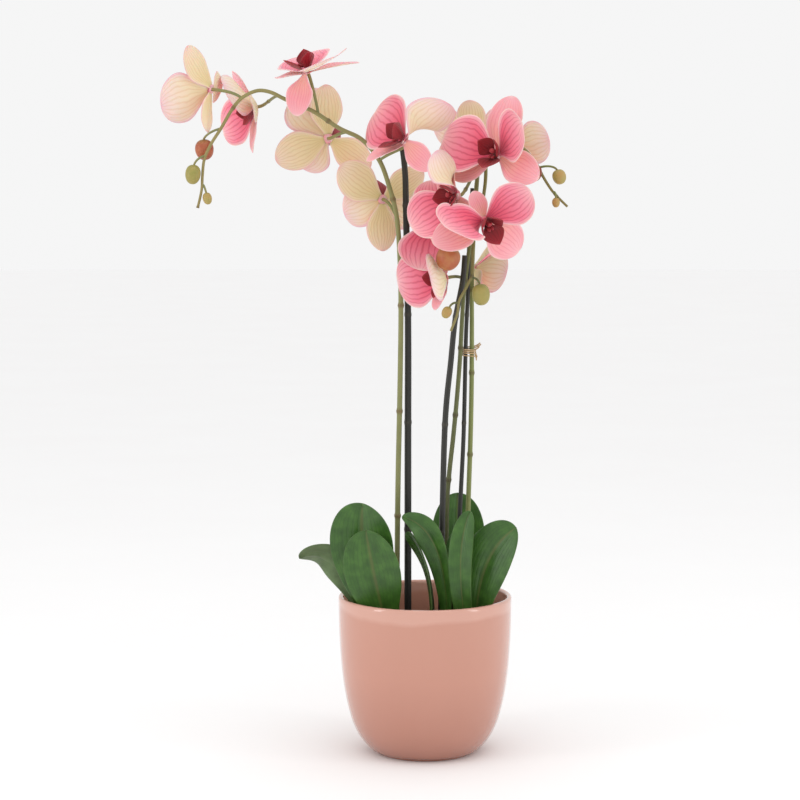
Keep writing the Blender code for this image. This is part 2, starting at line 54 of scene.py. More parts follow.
# ---- stakes and spikes: foot radius, top radius, points from foot to top ------------
STAKES = {
    "stake_left": (3.75, 2.8, [(-18, 6, 55), (-17, 5, 311), (-17, 4, 431), (-19, 4, 539),
                               (-20, 4, 576), (-23, 4, 603)]),
    "stake_middle": (3.1, 2.6, [(15, -16, 55), (16, -16, 179), (19, -16, 323), (25, -17, 392),
                                (29, -19, 432), (36, -24, 470), (38, -26, 495)]),
    "stake_right": (2.3, 1.9, [(33, -3, 55), (34, -3, 222), (38, -2, 317), (40, -1, 411),
                               (42, -1, 460), (43, 0, 509), (46, 2, 560)]),
}
SPIKES = {
    "spike_left": (2.85, 1.25, [
        (-28, 4, 60), (-28, 3, 150), (-27, -2, 260), (-25, -3, 360), (-24, -4, 440),
        (-25, -4, 490), (-28, -4, 531), (-35, -5, 560), (-45, -8, 587), (-62, -12, 607),
        (-84, -16, 618), (-109, -20, 634), (-135, -25, 645), (-150, -29, 652),
        (-163, -31, 653), (-177, -33, 646), (-187, -34, 634), (-197, -35, 617),
        (-206, -36, 603), (-213, -36, 588), (-215, -36, 572), (-216, -36, 558),
        (-220, -35, 541)]),
    "spike_middle": (2.5, 1.25, [
        (21, 8, 60), (21, 7, 150), (22, 4, 250), (28, -3, 318), (31, -7, 352), (34, -7, 392),
        (36, -7, 431), (38, -7, 461), (44, -5, 509), (49, -3, 548), (52, -4, 583),
        (56, -11, 600), (58, -19, 590), (58, -24, 570), (56, -27, 553), (53, -30, 537),
        (50, -34, 525), (47, -38, 513), (45, -42, 498), (45, -46, 479), (39, -48, 465),
        (32, -50, 452), (30, -50, 439), (24, -50, 423)]),
    "spike_right": (2.7, 1.2, [
        (41, 6, 60), (41, 6, 150), (43, 6, 244), (45, 5, 311), (46, 4, 371), (46, 4, 431),
        (46, 6, 470), (48, 11, 519), (51, 17, 568), (58, 21, 596), (68, 21, 608),
        (82, 19, 608), (95, 14, 600), (104, 10, 591), (110, 6, 582), (115, 3, 572),
        (121, 1, 562), (127, -1, 554), (139, -3, 542)]),
}
STALK_RADIUS = 1.45
STALK_STRAIGHT = 9.0

# ---- buds: spike, place along it, centre, radius, half length, lean, ripeness -------
BUDS = [
    ("spike_left", 17.0, (-214, -24, 597), 9.0, 10.0, (0.1, 0.2, -1.0), 0.8),
    ("spike_left", 18.8, (-224, -38, 573), 7.4, 9.4, (-0.1, 0.0, -1.0), 0.1),
    ("spike_left", 20.6, (-210.5, -36, 550), 4.4, 5.8, (0.2, 0.0, -1.0), 0.3),
    ("spike_middle", 17.2, (21, -54, 493), 11.6, 11.8, (-0.4, 0.0, -1.0), 0.7),
    ("spike_middle", 19.3, (53, -48, 458), 8.7, 10.4, (0.1, 0.0, -1.0), 0.15),
    ("spike_middle", 21.2, (20, -51, 441), 4.8, 5.9, (-0.5, 0.0, -1.0), 0.3),
    ("spike_right", 13.0, (106, 2, 575), 8.4, 8.6, (0.0, -0.1, -1.0), 1.0),
    ("spike_right", 14.2, (131, -1, 571), 6.7, 7.4, (0.3, 0.0, -1.0), 0.3),
    ("spike_right", 16.8, (127.5, -7, 546), 3.9, 4.8, (0.0, -0.2, -1.0), 0.4),
]

# ---- leaves: foot, middle, tip, the way the upper side looks, half width, fold ------
LEAVES = {
    "leaf_1": ((-44, -27, 121), (-60, -33, 200), (-61, -38, 254), (-0.3, -1.0, 0.3), 32, 8),
    "leaf_2": ((-35, -38, 121), (-49, -47, 180), (-58, -60, 231), (-0.25, -1.0, 0.35), 28, 10),
    "leaf_3": ((-50, -12, 122), (-86, -9, 187), (-125, -8, 195), (-0.5, 0.6, 0.6), 17, 6),
    "leaf_4": ((21, -29, 121), (12, -35, 205), (-23, -34, 240), (-0.55, -0.5, 0.7), 13, 14),
    "leaf_5": ((8, -27, 121), (2, -26, 185), (-19, -23, 223), (-0.75, -0.1, 0.6), 10, 12),
    "leaf_6": ((34, 26, 121), (34, 32, 195), (33, 38, 254), (0.0, -1.0, 0.2), 27, 10),
    "leaf_7": ((29, -14, 121), (27, -23, 180), (31, -25, 225), (-0.1, -1.0, 0.2), 10, 10),
    "leaf_8": ((42, -47, 121), (34, -51, 195), (43, -49, 248), (-0.3, -1.0, 0.1), 12, 12),
    "leaf_9": ((50, -35, 121), (58, -42, 190), (88, -50, 232), (-0.35, -1.0, 0.35), 25, 10),
}
LEAF_THICKNESS = 1.4
LEAF_STALK = 7.0

# ---- flowers: centre, azimuth and elevation it faces, roll, how far closed, size,
#      spike and place on it ----------------------------------------------------------
FLOWERS = [
    ((-207, -22, 655), -112, 8, -40, 30, 0.98, "spike_left", 15.0),
    ((-166.8, 33.9, 640.2), -80, -12, 34, 28, 0.94, "spike_left", 12.4),
    ((-113.3, -29.5, 670.4), -60, 68, -20, 0, 0.98, "spike_left", 10.8),
    ((-95.7, 21.9, 609), -165, 5, -112, 6, 1.0, "spike_left", 9.6),
    ((-42, 18, 549), -155, 5, 180, 4, 0.98, "spike_left", 6.0),
    ((-19.6, -45.6, 605), -75, 30, -5, 25, 1.02, "spike_left", 8.0),
    ((68.4, -48.5, 591.2), -32, 18, -5, 10, 1.04, "spike_right", 9.0),
    ((48, 42, 610), 170, 35, 0, 10, 0.85, "spike_right", 8.4),
    ((87.4, 62.4, 600.1), 110, 10, 0, 24, 0.78, "spike_right", 12.0),
    ((29.7, -59.6, 553.2), -55, 0, 45, 14, 1.0, "spike_middle", 10.0),
    ((54.4, -71.7, 529.1), 32, -20, 30, 6, 1.02, "spike_middle", 14.4),
    ((8.5, -14.6, 531.5), -18, -5, 90, 4, 1.1, "spike_middle", 8.6),
    ((19.5, -31.3, 473.4), -60, -8, 8, 22, 0.96, "spike_middle", 7.2),
    ((48.7, 27.1, 480.3), 100, -15, 0, 30, 0.76, "spike_right", 6.1),
]
# Tepals that hang out of line: (flower, tepal angle): lift, turn, size, twist
BENT_TEPALS = {
    (1, 28): (-16, 0, 1.0, 0),
    (1, 172): (5, 0, 1.0, 0),
    (1, 215): (-2, 0, 1.0, 0),
    (1, 325): (-28, 0, 0.85, 0),
    (2, 28): (-5, 0, 1.0, 0),
    (2, 152): (0, 7, 1.0, 0),
    (2, 172): (6, 0, 1.0, 0),
    (2, 325): (-4, 0, 1.0, 0),
    (3, 8): (0, 20, 1.0, 0),
    (3, 28): (-10, 0, 1.0, 0),
    (3, 215): (13, -8, 1.0, 0),
    (3, 325): (-43, -31, 0.9, -35),
    (4, 8): (0, 52, 0.72, 0),
    (4, 90): (0, 0, 1.12, 0),
    (4, 152): (0, 13, 1.0, 0),
    (4, 215): (0, -18, 1.05, 0),
    (5, 28): (0, 0, 1.0, -16),
    (5, 172): (0, -15, 0.75, 0),
    (5, 215): (0, -3, 1.25, 0),
    (6, 8): (-51, 55, 1.05, -60),
    (6, 28): (-11, 0, 1.0, 0),
    (6, 90): (-31, 45, 0.78, 0),
    (6, 172): (-4, -6, 1.05, 0),
    (6, 215): (18, 31, 0.82, 0),
    (6, 325): (-66, 10, 0.8, 0),
    (7, 8): (14, 25, 0.95, 0),
    (7, 90): (0, 0, 1.12, 0),
    (7, 152): (-11, 0, 1.0, 0),
    (7, 215): (0, -9, 1.0, 0),
    (7, 325): (0, 14, 1.0, 0),
    (8, 28): (0, 0, 1.0, 0),
    (8, 152): (0, 2, 0.9, 8),
    (9, 8): (0, 0, 1.0, -3),
    (9, 28): (0, 0, 0.97, 0),
    (9, 152): (0, 11, 1.0, 0),
    (9, 172): (10, 0, 1.0, 5),
    (9, 325): (-5, 0, 1.0, 0),
    (10, 8): (0, 48, 0.85, -75),
    (10, 90): (-16, 14, 0.81, 14),
    (10, 152): (-9, 0, 1.0, 0),
    (10, 172): (12, 8, 1.0, 0),
    (10, 215): (16, -15, 1.0, 1),
    (10, 270): (0, -12, 1.0, 0),
    (10, 325): (-29, -63, 0.6, 2),
    (11, 8): (0, 8, 0.95, 0),
    (11, 90): (-19, -5, 0.54, -5),
    (11, 152): (-12, 0, 1.0, 0),
    (11, 172): (-2, -22, 1.0, 74),
    (11, 215): (-2, -38, 1.05, 46),
    (11, 325): (0, -28, 1.25, 0),
    (12, 8): (-30, 0, 0.6, 0),
    (12, 90): (-48, 48, 0.9, 14),
    (12, 152): (-13, 0, 1.0, 0),
    (12, 172): (12, 0, 0.92, 0),
    (12, 215): (-10, 19, 0.75, 0),
    (12, 325): (-40, 0, 0.6, 0),
    (13, 8): (18, 0, 0.88, 0),
    (13, 90): (-45, 0, 0.8, 0),
    (13, 152): (-7, 3, 1.0, 0),
    (13, 172): (0, 0, 1.03, -4),
    (13, 215): (-22, -39, 1.0, -47),
    (13, 270): (1, 0, 0.94, 0),
    (13, 325): (26, -57, 0.68, -5),
    (14, 8): (0, -3, 1.0, -2),
    (14, 28): (0, 0, 1.0, 25),
    (14, 152): (-9, 0, 1.0, 0),
    (14, 172): (0, 2, 1.0, -1),
    (14, 215): (-13, 0, 1.0, 0),
    (14, 325): (-11, 4, 1.0, 0),
}

# Tepals: angle, length, half width, foot half width, widest, blunt, lift, curl, hollow
SEPALS = [(90, 48, 17.0, 4.0, 0.50, 0.75, -5, -10, 0.10),
          (215, 47, 16.0, 4.0, 0.48, 0.70, -6, -12, 0.10),
          (325, 47, 16.0, 4.0, 0.48, 0.70, -6, -12, 0.10)]
PETALS = [(8, 50, 28.0, 4.5, 0.56, 1.00, 9, 4, 0.12),
          (172, 50, 28.0, 4.5, 0.56, 1.00, 9, 4, 0.12)]
LIP = [(270, 23, 11.5, 2.2, 0.50, 0.30, 30, 30, 0.30),
       (28, 20, 9.0, 2.0, 0.55, 0.30, 56, 24, 0.35),
       (152, 20, 9.0, 2.0, 0.55, 0.30, 56, 24, 0.35)]
# Layer: tepals, height over the flower's centre, hub radius, rows, columns, ruffle
LAYERS = {"sepals": (SEPALS, 0.0, 4.2, 26, 18, 0.7),
          "petals": (PETALS, 1.9, 3.8, 34, 30, 1.3),
          "lip": (LIP, 3.8, 2.6, 18, 14, 0.6)}

TIE_HEIGHT = 400.0
TIE_RADIUS = 0.75


# ---- small tools ---------------------------------------------------------------------
def linear(colour):
    """A hex sRGB colour as linear RGBA."""
    parts = [int(colour[k:k + 2], 16) / 255 for k in (1, 3, 5)]
    return (*[p / 12.92 if p <= 0.04045 else ((p + 0.055) / 1.055) ** 2.4 for p in parts], 1.0)


def add(tree, kind, inputs=None, stops=None, **settings):
    """Adds a node, sets it up, and links or fills its inputs."""
    made = tree.nodes.new(kind)
    for name, value in settings.items():
        setattr(made, name, value)
    for name, value in (inputs or {}).items():
        if isinstance(value, bpy.types.NodeSocket):
            tree.links.new(value, made.inputs[name])
        else:
            made.inputs[name].default_value = value
    if stops:
        elements = made.color_ramp.elements
        while len(elements) < len(stops):
            elements.new(1.0)
        for element, (place, colour) in zip(elements, stops):
            element.position = place
            element.color = linear(colour)
    return made


def finish(name, **sockets):
    """A new material with its shader's constants set."""
    made = bpy.data.materials.new(name)
    made.use_nodes = True
    shader = made.node_tree.nodes["Principled BSDF"]
    for socket, value in sockets.items():
        shader.inputs[socket.replace("_", " ")].default_value = value
    return made, made.node_tree, shader


def show(name, mesh, node, slot, *surfaces):
    """Puts a finished mesh in the scene in place of a CAD node."""
    piece = bpy.data.objects.new(name, mesh)
    bpy.context.scene.collection.objects.link(piece)
    mesh.materials.clear()
    for surface in surfaces:
        mesh.materials.append(surface)
    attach(piece, "root")
    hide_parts(node)
    return piece


def on_curve(points, place):
    k = min(int(place), len(points) - 2)
    f = place - k
    p = [points[max(k - 1, 0)], points[k], points[k + 1], points[min(k + 2, len(points) - 1)]]
    return 0.5 * (2 * p[1] + (p[2] - p[0]) * f
                  + (2 * p[0] - 5 * p[1] + 4 * p[2] - p[3]) * f ** 2
                  + (3 * p[1] - p[0] - 3 * p[2] + p[3]) * f ** 3)


def smooth_path(points, steps):
    return [on_curve(points, k / steps) for k in range((len(points) - 1) * steps + 1)]


def bezier(p0, p1, p2, p3, steps):
    path = []
    for k in range(steps + 1):
        f = k / steps
        g = 1 - f
        path.append(p0 * g ** 3 + p1 * 3 * f * g ** 2 + p2 * 3 * f ** 2 * g + p3 * f ** 3)
    return path


def from_medium(points):
    """The path with its foot standing upright in the medium."""
    foot = Vector(points[1])
    return [Vector((foot.x, foot.y, MEDIUM_TOP - 32)), Vector((foot.x, foot.y, MEDIUM_TOP + 6)),
            foot, *[Vector(p) for p in points[2:]]]


# ---- closed thin shells: petals, leaves and scales -------------------------------------
class Skins:
    """Gathers closed shells with their places along and across, side and tone."""

    def __init__(self):
        self.points, self.faces, self.slots = [], [], []
        self.marks = {"along": [], "across": [], "upper": [], "tone": []}

    def blade(self, grid, thickness, tone, slot=0):
        """A thin closed blade round a grid of middle points, in mm."""
        rows, columns = grid.shape[:2]
        normal = np.cross(np.gradient(grid, axis=0), np.gradient(grid, axis=1))
        size = np.linalg.norm(normal, axis=2, keepdims=True)
        normal = normal / np.maximum(size, 1e-9)
        if np.linalg.norm(grid[-1, 0] - grid[-1, -1]) < 1e-6:
            tip = normal[-2].mean(axis=0)
            normal[-1] = tip / np.linalg.norm(tip)
        s = np.linspace(0, 1, rows)[:, None]
        t = np.linspace(-1, 1, columns)[None, :]
        wall = thickness / 2 * (1 - 0.75 * np.abs(t) ** 5) * (1 - 0.7 * s ** 6)
        start = len(self.points)
        for sign in (1, -1):
            self.points += (grid + normal * wall[..., None] * sign).reshape(-1, 3).tolist()
        count = rows * columns
        for mark, values in (("along", s + 0 * t), ("across", t + 0 * s)):
            self.marks[mark] += values.ravel().tolist() * 2
        self.marks["upper"] += [1.0] * count + [0.0] * count
        self.marks["tone"] += [tone] * (2 * count)
        made = []
        for i in range(rows - 1):
            for j in range(columns - 1):
                a = start + i * columns + j
                b = a + columns
                made.append((a, b, b + 1, a + 1))
                made.append((a + count, a + count + 1, b + count + 1, b + count))
        ring = [i * columns for i in range(rows)]
        ring += [(rows - 1) * columns + j for j in range(1, columns)]
        ring += [i * columns + columns - 1 for i in range(rows - 2, -1, -1)]
        ring += list(range(columns - 2, 0, -1))
        for a, b in zip(ring, ring[1:] + ring[:1]):
            made.append((start + a, start + a + count, start + b + count, start + b))
        self.faces += made
        self.slots += [slot] * len(made)

    def ball(self, place, tone, slot=0, rows=12, sides=16):
        """A closed rounded body: place(share down it, angle) gives its points."""
        start = len(self.points)
        for i in range(rows + 1):
            for j in range(sides):
                self.points.append(list(place(i / rows, 2 * math.pi * j / sides)))
                self.marks["along"].append(i / rows)
                self.marks["across"].append(j / sides)
                self.marks["upper"].append(1.0)
                self.marks["tone"].append(tone)
        for i in range(rows):
            for j in range(sides):
                a = start + i * sides + j
                b = start + i * sides + (j + 1) % sides
                self.faces.append((a, a + sides, b + sides, b))
                self.slots.append(slot)

    def mesh(self, name, turn=None, sort_out=True):
        mesh = bpy.data.meshes.new(name)
        mesh.from_pydata([Vector(p) for p in self.points], [], self.faces)
        for mark, values in self.marks.items():
            layer = mesh.attributes.new(mark, "FLOAT", "POINT")
            layer.data.foreach_set("value", values)
        mesh.polygons.foreach_set("material_index", self.slots)
        work = bmesh.new()
        work.from_mesh(mesh)
        bmesh.ops.remove_doubles(work, verts=work.verts, dist=1e-4)
        if sort_out:
            bmesh.ops.recalc_face_normals(work, faces=work.faces)
        work.to_mesh(mesh)
        work.free()
        mesh.transform(Matrix.Scale(MM, 4) if turn is None else turn @ Matrix.Scale(MM, 4))
        mesh.shade_smooth()
        return mesh


def outline(share, foot, width, widest, blunt):
    """Half width of a blade at a share of its length."""
    if share < widest:
        return foot + (width - foot) * math.sin(math.pi / 2 * share / widest) ** 1.3
    fall = (share - widest) / (1 - widest)
    return width * max(0.0, 1 - fall ** 2) ** (0.85 - 0.35 * blunt)


def tepal_point(tepal, closed, bent, hub_radius, s, t):
    """A point of a tepal's middle skin in the flower's frame, which faces +Z, top at +Y."""
    angle, length, width, foot, widest, blunt, lift, curl, hollow = tepal
    more_lift, more_turn, size, twist = bent
    start = math.radians(lift + closed + more_lift)
    bend = math.radians(curl)
    slope = start + bend * s
    along = hub_radius + size * length * (math.sin(slope) - math.sin(start)) / bend
    height = size * length * (math.cos(start) - math.cos(slope)) / bend
    half = outline(s, foot, size * width, widest, blunt)
    if blunt < 0.5 and s > widest:
        half *= (1 - (s - widest) / (1 - widest)) ** 0.2
    roll = math.radians(twist) * min(1.0, 2.5 * s)
    rise = hollow * half * t * t * min(1.0, 4 * s)
    across = half * t * math.cos(roll) - rise * math.sin(roll)
    out = half * t * math.sin(roll) + rise * math.cos(roll)
    x = along - out * math.sin(slope)
    turn = math.radians(angle + more_turn)
    return (x * math.cos(turn) - across * math.sin(turn),
            x * math.sin(turn) + across * math.cos(turn),
            height + out * math.cos(slope))


# ---- flowers -----------------------------------------------------------------------------
def flower_turn(azimuth, elevation, roll):
    return (Matrix.Rotation(math.radians(azimuth), 4, "Z")
            @ Matrix.Rotation(math.radians(90 - elevation), 4, "X")
            @ Matrix.Rotation(math.radians(roll), 4, "Z"))


def tepal_grid(number, layer, tepal, closed, size):
    """The middle skin of one tepal, with a crease down it and a ruffled margin."""
    _, height, hub_radius, rows, columns, ruffle = LAYERS[layer]
    bent = BENT_TEPALS.get((number, tepal[0]), (0, 0, 1.0, 0))
    chance = random.Random(number * 1000 + tepal[0])
    waves = [(chance.uniform(0, 6.28), chance.uniform(2.0, 4.5)) for _ in range(2)]
    grid = np.zeros((rows + 1, columns + 1, 3))
    for i in range(rows + 1):
        s = math.sin(math.pi / 2 * i / rows) ** 1.1
        for j in range(columns + 1):
            t = math.sin(math.pi / 2 * (2 * j / columns - 1))
            grid[i, j] = tepal_point(tepal, closed, bent, hub_radius, s, t)
            grid[i, j, 2] += height
    normal = np.cross(np.gradient(grid, axis=0), np.gradient(grid, axis=1))
    normal /= np.maximum(np.linalg.norm(normal, axis=2, keepdims=True), 1e-9)
    s = np.sin(np.pi / 2 * np.linspace(0, 1, rows + 1))[:, None] ** 1.1
    t = np.sin(np.pi / 2 * np.linspace(-1, 1, columns + 1))[None, :]
    wave = sum(np.sin(f * s * 2.2 + p + np.sign(t)) for p, f in waves) * 0.5
    fade = np.minimum(1, (1 - s) * 8 + 0.15)
    move = ruffle * wave * np.abs(t) ** 3 * np.minimum(1, 3 * s) * fade
    move -= 0.5 * np.exp(-(t / 0.09) ** 2) * np.sin(np.pi * np.minimum(1, s * 1.1))
    return (grid + normal * move[..., None]) * size


def hub_button(radius, top, bottom):
    """A rounded button that closes the middle of a layer, seen down the flower's axis."""
    def place(share, angle):
        reach = math.sin(math.pi * share) ** 0.7 * radius
        middle, half = (top + bottom) / 2, (top - bottom) / 2
        return (reach * math.cos(angle), reach * math.sin(angle),
                middle + half * math.cos(math.pi * share))
    return place


def column_body(size):
    """The column over the lip: a short club that leans forward, with a cap at its end."""
    def place(share, angle):
        reach = size * (2.0 + 1.1 * share) * math.sqrt(max(0.0, 1 - (2 * share - 1) ** 8))
        return (reach * math.cos(angle), size * (1.6 - 1.6 * share ** 2) + reach * 0.8 * math.sin(angle),
                size * (3.2 + 9.5 * share) + reach * 0.3 * math.sin(angle))
    return place


def callus_body(size, side):
    """One of the two warty ridges at the lip's throat."""
    def place(share, angle):
        reach = size * 1.9 * math.sin(math.pi * share) ** 0.6
        reach *= 1 + 0.16 * math.sin(7 * share + side) * math.cos(3 * angle)
        return (side * size * 1.7 + reach * math.cos(angle),
                size * (-3.0 - 3.4 * share) + reach * 0.8 * math.sin(angle),
                size * (6.4 + 5.4 * share))
    return place


def grow_flowers(petal, sepal, lip, column, callus):
    for k, (centre, azimuth, elevation, roll, closed, size, _, _) in enumerate(FLOWERS, 1):
        turn = flower_turn(azimuth, elevation, roll)
        stand = Matrix.Translation(Vector(centre) * MM) @ turn
        chance = random.Random(k)
        for layer, (tepals, height, hub_radius, *_) in LAYERS.items():
            skins = Skins()
            for tepal in tepals:
                shut = 0 if layer == "lip" else closed
                grid = tepal_grid(k, layer, tepal, shut, size)
                thick = TEPAL_THICKNESS * (0.8 if layer != "lip" else 1.0)
                skins.blade(grid, thick, chance.random())
            reach = (hub_radius + 0.9) * size
            if layer == "sepals":
                skins.ball(hub_button(reach, 0.75, -0.75), 0.5)
            elif layer == "petals":
                skins.ball(hub_button(reach, (height + 0.8) * size, (height - 0.8) * size), 0.5)
            else:
                skins.ball(hub_button(reach, (height + 1.2) * size, (height - 0.7) * size), 0.5)
                skins.ball(column_body(size), 0.5, slot=1)
                skins.ball(callus_body(size, 1), 0.5, slot=2)
                skins.ball(callus_body(size, -1), 0.5, slot=2)
            name = "flower_%02d_%s" % (k, layer)
            surfaces = {"sepals": [sepal], "petals": [petal], "lip": [lip, column, callus]}[layer]
            slot = {"sepals": "sepal_cream", "petals": "petal_pink", "lip": "lip_red"}[layer]
            show("fine_" + name, skins.mesh("fine_" + name, stand), name, slot, *surfaces)


# ---- leaves --------------------------------------------------------------------------------
def leaf_grid(name, rows=46, columns=18):
    foot, middle, tip, up, width, fold = LEAVES[name]
    foot, middle, tip = Vector(foot), Vector(middle), Vector(tip)
    control = middle * 2 - (foot + tip) / 2
    up = Vector(up).normalized()
    chance = random.Random(name)
    phase = chance.uniform(0, 6.28)
    grid = np.zeros((rows + 1, columns + 1, 3))
    for i in range(rows + 1):
        s = math.sin(math.pi / 2 * i / rows) ** 1.1
        spine = foot * (1 - s) ** 2 + control * 2 * s * (1 - s) + tip * s * s
        way = ((control - foot) * (1 - s) + (tip - control) * s).normalized()
        side = up.cross(way).normalized()
        normal = way.cross(side)
        half = outline(s, LEAF_STALK, width, 0.6, 1.0)
        for j in range(columns + 1):
            t = math.sin(math.pi / 2 * (2 * j / columns - 1))
            rise = abs(t) * half * math.tan(math.radians(fold)) - 0.9 * math.exp(-(t / 0.07) ** 2)
            rise += 0.8 * math.sin(7 * s + phase + t) * abs(t) ** 3 * min(1, 4 * (1 - s))
            notch = 4.0 * max(0.0, 1 - abs(t) / 0.35) * s ** 12 if name == "leaf_1" else 0.0
            grid[i, j] = spine + side * (half * t) + normal * rise - way * notch
    return grid


def grow_leaves(surface):
    for name in LEAVES:
        skins = Skins()
        skins.blade(leaf_grid(name), LEAF_THICKNESS, random.Random(name).random())
        show("waxy_" + name, skins.mesh("waxy_" + name), name, "leaf_green", surface)


# ---- geometry node trees -----------------------------------------------------------------
def new_tree(name, sockets):
    tree = bpy.data.node_groups.new(name, "GeometryNodeTree")
    tree.interface.new_socket("Geometry", in_out="OUTPUT", socket_type="NodeSocketGeometry")
    tree.interface.new_socket("Geometry", in_out="INPUT", socket_type="NodeSocketGeometry")
    for label, kind in sockets:
        tree.interface.new_socket(label, in_out="INPUT", socket_type="NodeSocket" + kind)
    return tree, add(tree, "NodeGroupInput").outputs


def run_tree(thing, tree, name, **values):
    """Runs a node tree on a thing and gives back its plain mesh; the thing is removed."""
    modifier = thing.modifiers.new("grow", "NODES")
    modifier.node_group = tree
    for socket in tree.interface.items_tree:
        label = socket.name.replace(" ", "_")
        if socket.in_out == "INPUT" and label in values:
            modifier[socket.identifier] = values[label]
    graph = bpy.context.evaluated_depsgraph_get()
    graph.update()
    mesh = bpy.data.meshes.new_from_object(thing.evaluated_get(graph))
    mesh.name = name
    thing.modifiers.remove(modifier)
    bpy.data.objects.remove(thing)
    return mesh


def rod_tree(surface):
    """Round rods along every spline, swollen at evenly spaced joints."""
    tree, given = new_tree("jointed_rod", [("Sides", "Int"), ("First Joint", "Float"),
                                           ("Joint Spacing", "Float"), ("Swelling", "Float"),
                                           ("Joint Length", "Float")])
    even = add(tree, "GeometryNodeResampleCurve", {"Curve": given["Geometry"], "Length": 0.0016},
               mode="LENGTH")
    length = add(tree, "GeometryNodeSplineParameter")
    radius = add(tree, "GeometryNodeInputRadius")
    past = add(tree, "ShaderNodeMath", {0: length.outputs["Length"], 1: given["First Joint"]},
               operation="SUBTRACT")
    turns = add(tree, "ShaderNodeMath", {0: past.outputs[0], 1: given["Joint Spacing"]},
                operation="DIVIDE")
    nearest = add(tree, "ShaderNodeMath", {0: turns.outputs[0]}, operation="ROUND")
    away = add(tree, "ShaderNodeMath", {0: turns.outputs[0], 1: nearest.outputs[0]},
               operation="SUBTRACT")
    away = add(tree, "ShaderNodeMath", {0: away.outputs[0], 1: given["Joint Spacing"]},
               operation="MULTIPLY")
    away = add(tree, "ShaderNodeMath", {0: away.outputs[0]}, operation="ABSOLUTE")
    swell = add(tree, "ShaderNodeMapRange",
                {"Value": away.outputs[0], "From Min": 0.0, "From Max": given["Joint Length"],
                 "To Min": given["Swelling"], "To Max": 0.0}, interpolation_type="SMOOTHSTEP")
    wider = add(tree, "ShaderNodeMath", {0: swell.outputs[0], 1: 1.0}, operation="ADD")
    wider = add(tree, "ShaderNodeMath", {0: wider.outputs[0], 1: radius.outputs[0]},
                operation="MULTIPLY")
    marked = add(tree, "GeometryNodeStoreNamedAttribute",
                 {"Geometry": even.outputs[0], "Name": "along", "Value": length.outputs["Factor"]},
                 data_type="FLOAT", domain="POINT")
    ringed = add(tree, "GeometryNodeStoreNamedAttribute",
                 {"Geometry": marked.outputs[0], "Name": "joint", "Value": swell.outputs[0]},
                 data_type="FLOAT", domain="POINT")
    circle = add(tree, "GeometryNodeCurvePrimitiveCircle",
                 {"Resolution": given["Sides"], "Radius": 1.0})
    rod = add(tree, "GeometryNodeCurveToMesh",
              {"Curve": ringed.outputs[0], "Profile Curve": circle.outputs[0],
               "Scale": wider.outputs[0], "Fill Caps": True})
    smooth = add(tree, "GeometryNodeSetShadeSmooth", {"Geometry": rod.outputs[0]})
    real = add(tree, "GeometryNodeRealizeInstances", {"Geometry": smooth.outputs[0]})
    made = add(tree, "GeometryNodeSetMaterial", {"Geometry": real.outputs[0],
                                                 "Material": surface})
    add(tree, "NodeGroupOutput", {0: made.outputs[0]})
    return tree


def rods(name, paths):
    """A curve with one spline for each path; a path is its points and its two radii, in mm."""
    curve = bpy.data.curves.new(name, "CURVE")
    curve.dimensions = "3D"
    for path, start, end in paths:
        spline = curve.splines.new("POLY")
        spline.points.add(len(path) - 1)
        for k, (point, place) in enumerate(zip(spline.points, path)):
            point.co = (*(place * MM), 1.0)
            point.radius = (start + (end - start) * k / (len(path) - 1)) * MM
    thing = bpy.data.objects.new(name, curve)
    bpy.context.scene.collection.objects.link(thing)
    return thing


def turned_tree(surface):
    """A body turned about Z from a profile curve given as an object."""
    tree, given = new_tree("turned_body", [("Profile", "Object"), ("Sides", "Int"),
                                           ("Rows", "Int")])
    profile = add(tree, "GeometryNodeObjectInfo", {"Object": given["Profile"]})
    sheet = add(tree, "GeometryNodeMeshGrid", {"Size X": 1.0, "Size Y": 1.0,
                                               "Vertices X": given["Sides"],
                                               "Vertices Y": given["Rows"]})
    place = add(tree, "GeometryNodeInputPosition")
    split = add(tree, "ShaderNodeSeparateXYZ", {0: place.outputs[0]})
    share = add(tree, "ShaderNodeMath", {0: split.outputs["Y"], 1: 0.5}, operation="ADD",
                use_clamp=True)
    angle = add(tree, "ShaderNodeMath", {0: split.outputs["X"], 1: 2 * math.pi},
                operation="MULTIPLY")
    point = add(tree, "GeometryNodeSampleCurve",
                {"Curves": profile.outputs["Geometry"], "Factor": share.outputs[0]},
                mode="FACTOR", use_all_curves=True)
    turned = add(tree, "ShaderNodeVectorRotate",
                 {"Vector": point.outputs["Position"], "Angle": angle.outputs[0]},
                 rotation_type="Z_AXIS")
    moved = add(tree, "GeometryNodeSetPosition", {"Geometry": sheet.outputs["Mesh"],
                                                  "Position": turned.outputs[0]})
    sewn = add(tree, "GeometryNodeMergeByDistance", {"Geometry": moved.outputs[0],
                                                     "Distance": 0.00001})
    smooth = add(tree, "GeometryNodeSetShadeSmooth", {"Geometry": sewn.outputs[0]})
    real = add(tree, "GeometryNodeRealizeInstances", {"Geometry": smooth.outputs[0]})
    made = add(tree, "GeometryNodeSetMaterial", {"Geometry": real.outputs[0],
                                                 "Material": surface})
    add(tree, "NodeGroupOutput", {0: made.outputs[0]})
    return tree


def turned_body(name, profile, surface, sides=144, rows=260):
    """Turns a profile of (height, radius) in mm, from the axis round to the axis."""
    path = [Vector((radius, 0.0, height)) for height, radius in profile]
    line = rods(name + "_profile", [(path, 1.0, 1.0)])
    empty = bpy.data.meshes.new(name)
    thing = bpy.data.objects.new(name, empty)
    bpy.context.scene.collection.objects.link(thing)
    mesh = run_tree(thing, turned_tree(surface), name, Profile=line, Sides=sides, Rows=rows)
    bpy.data.objects.remove(line)
    return tidy_mesh(mesh)


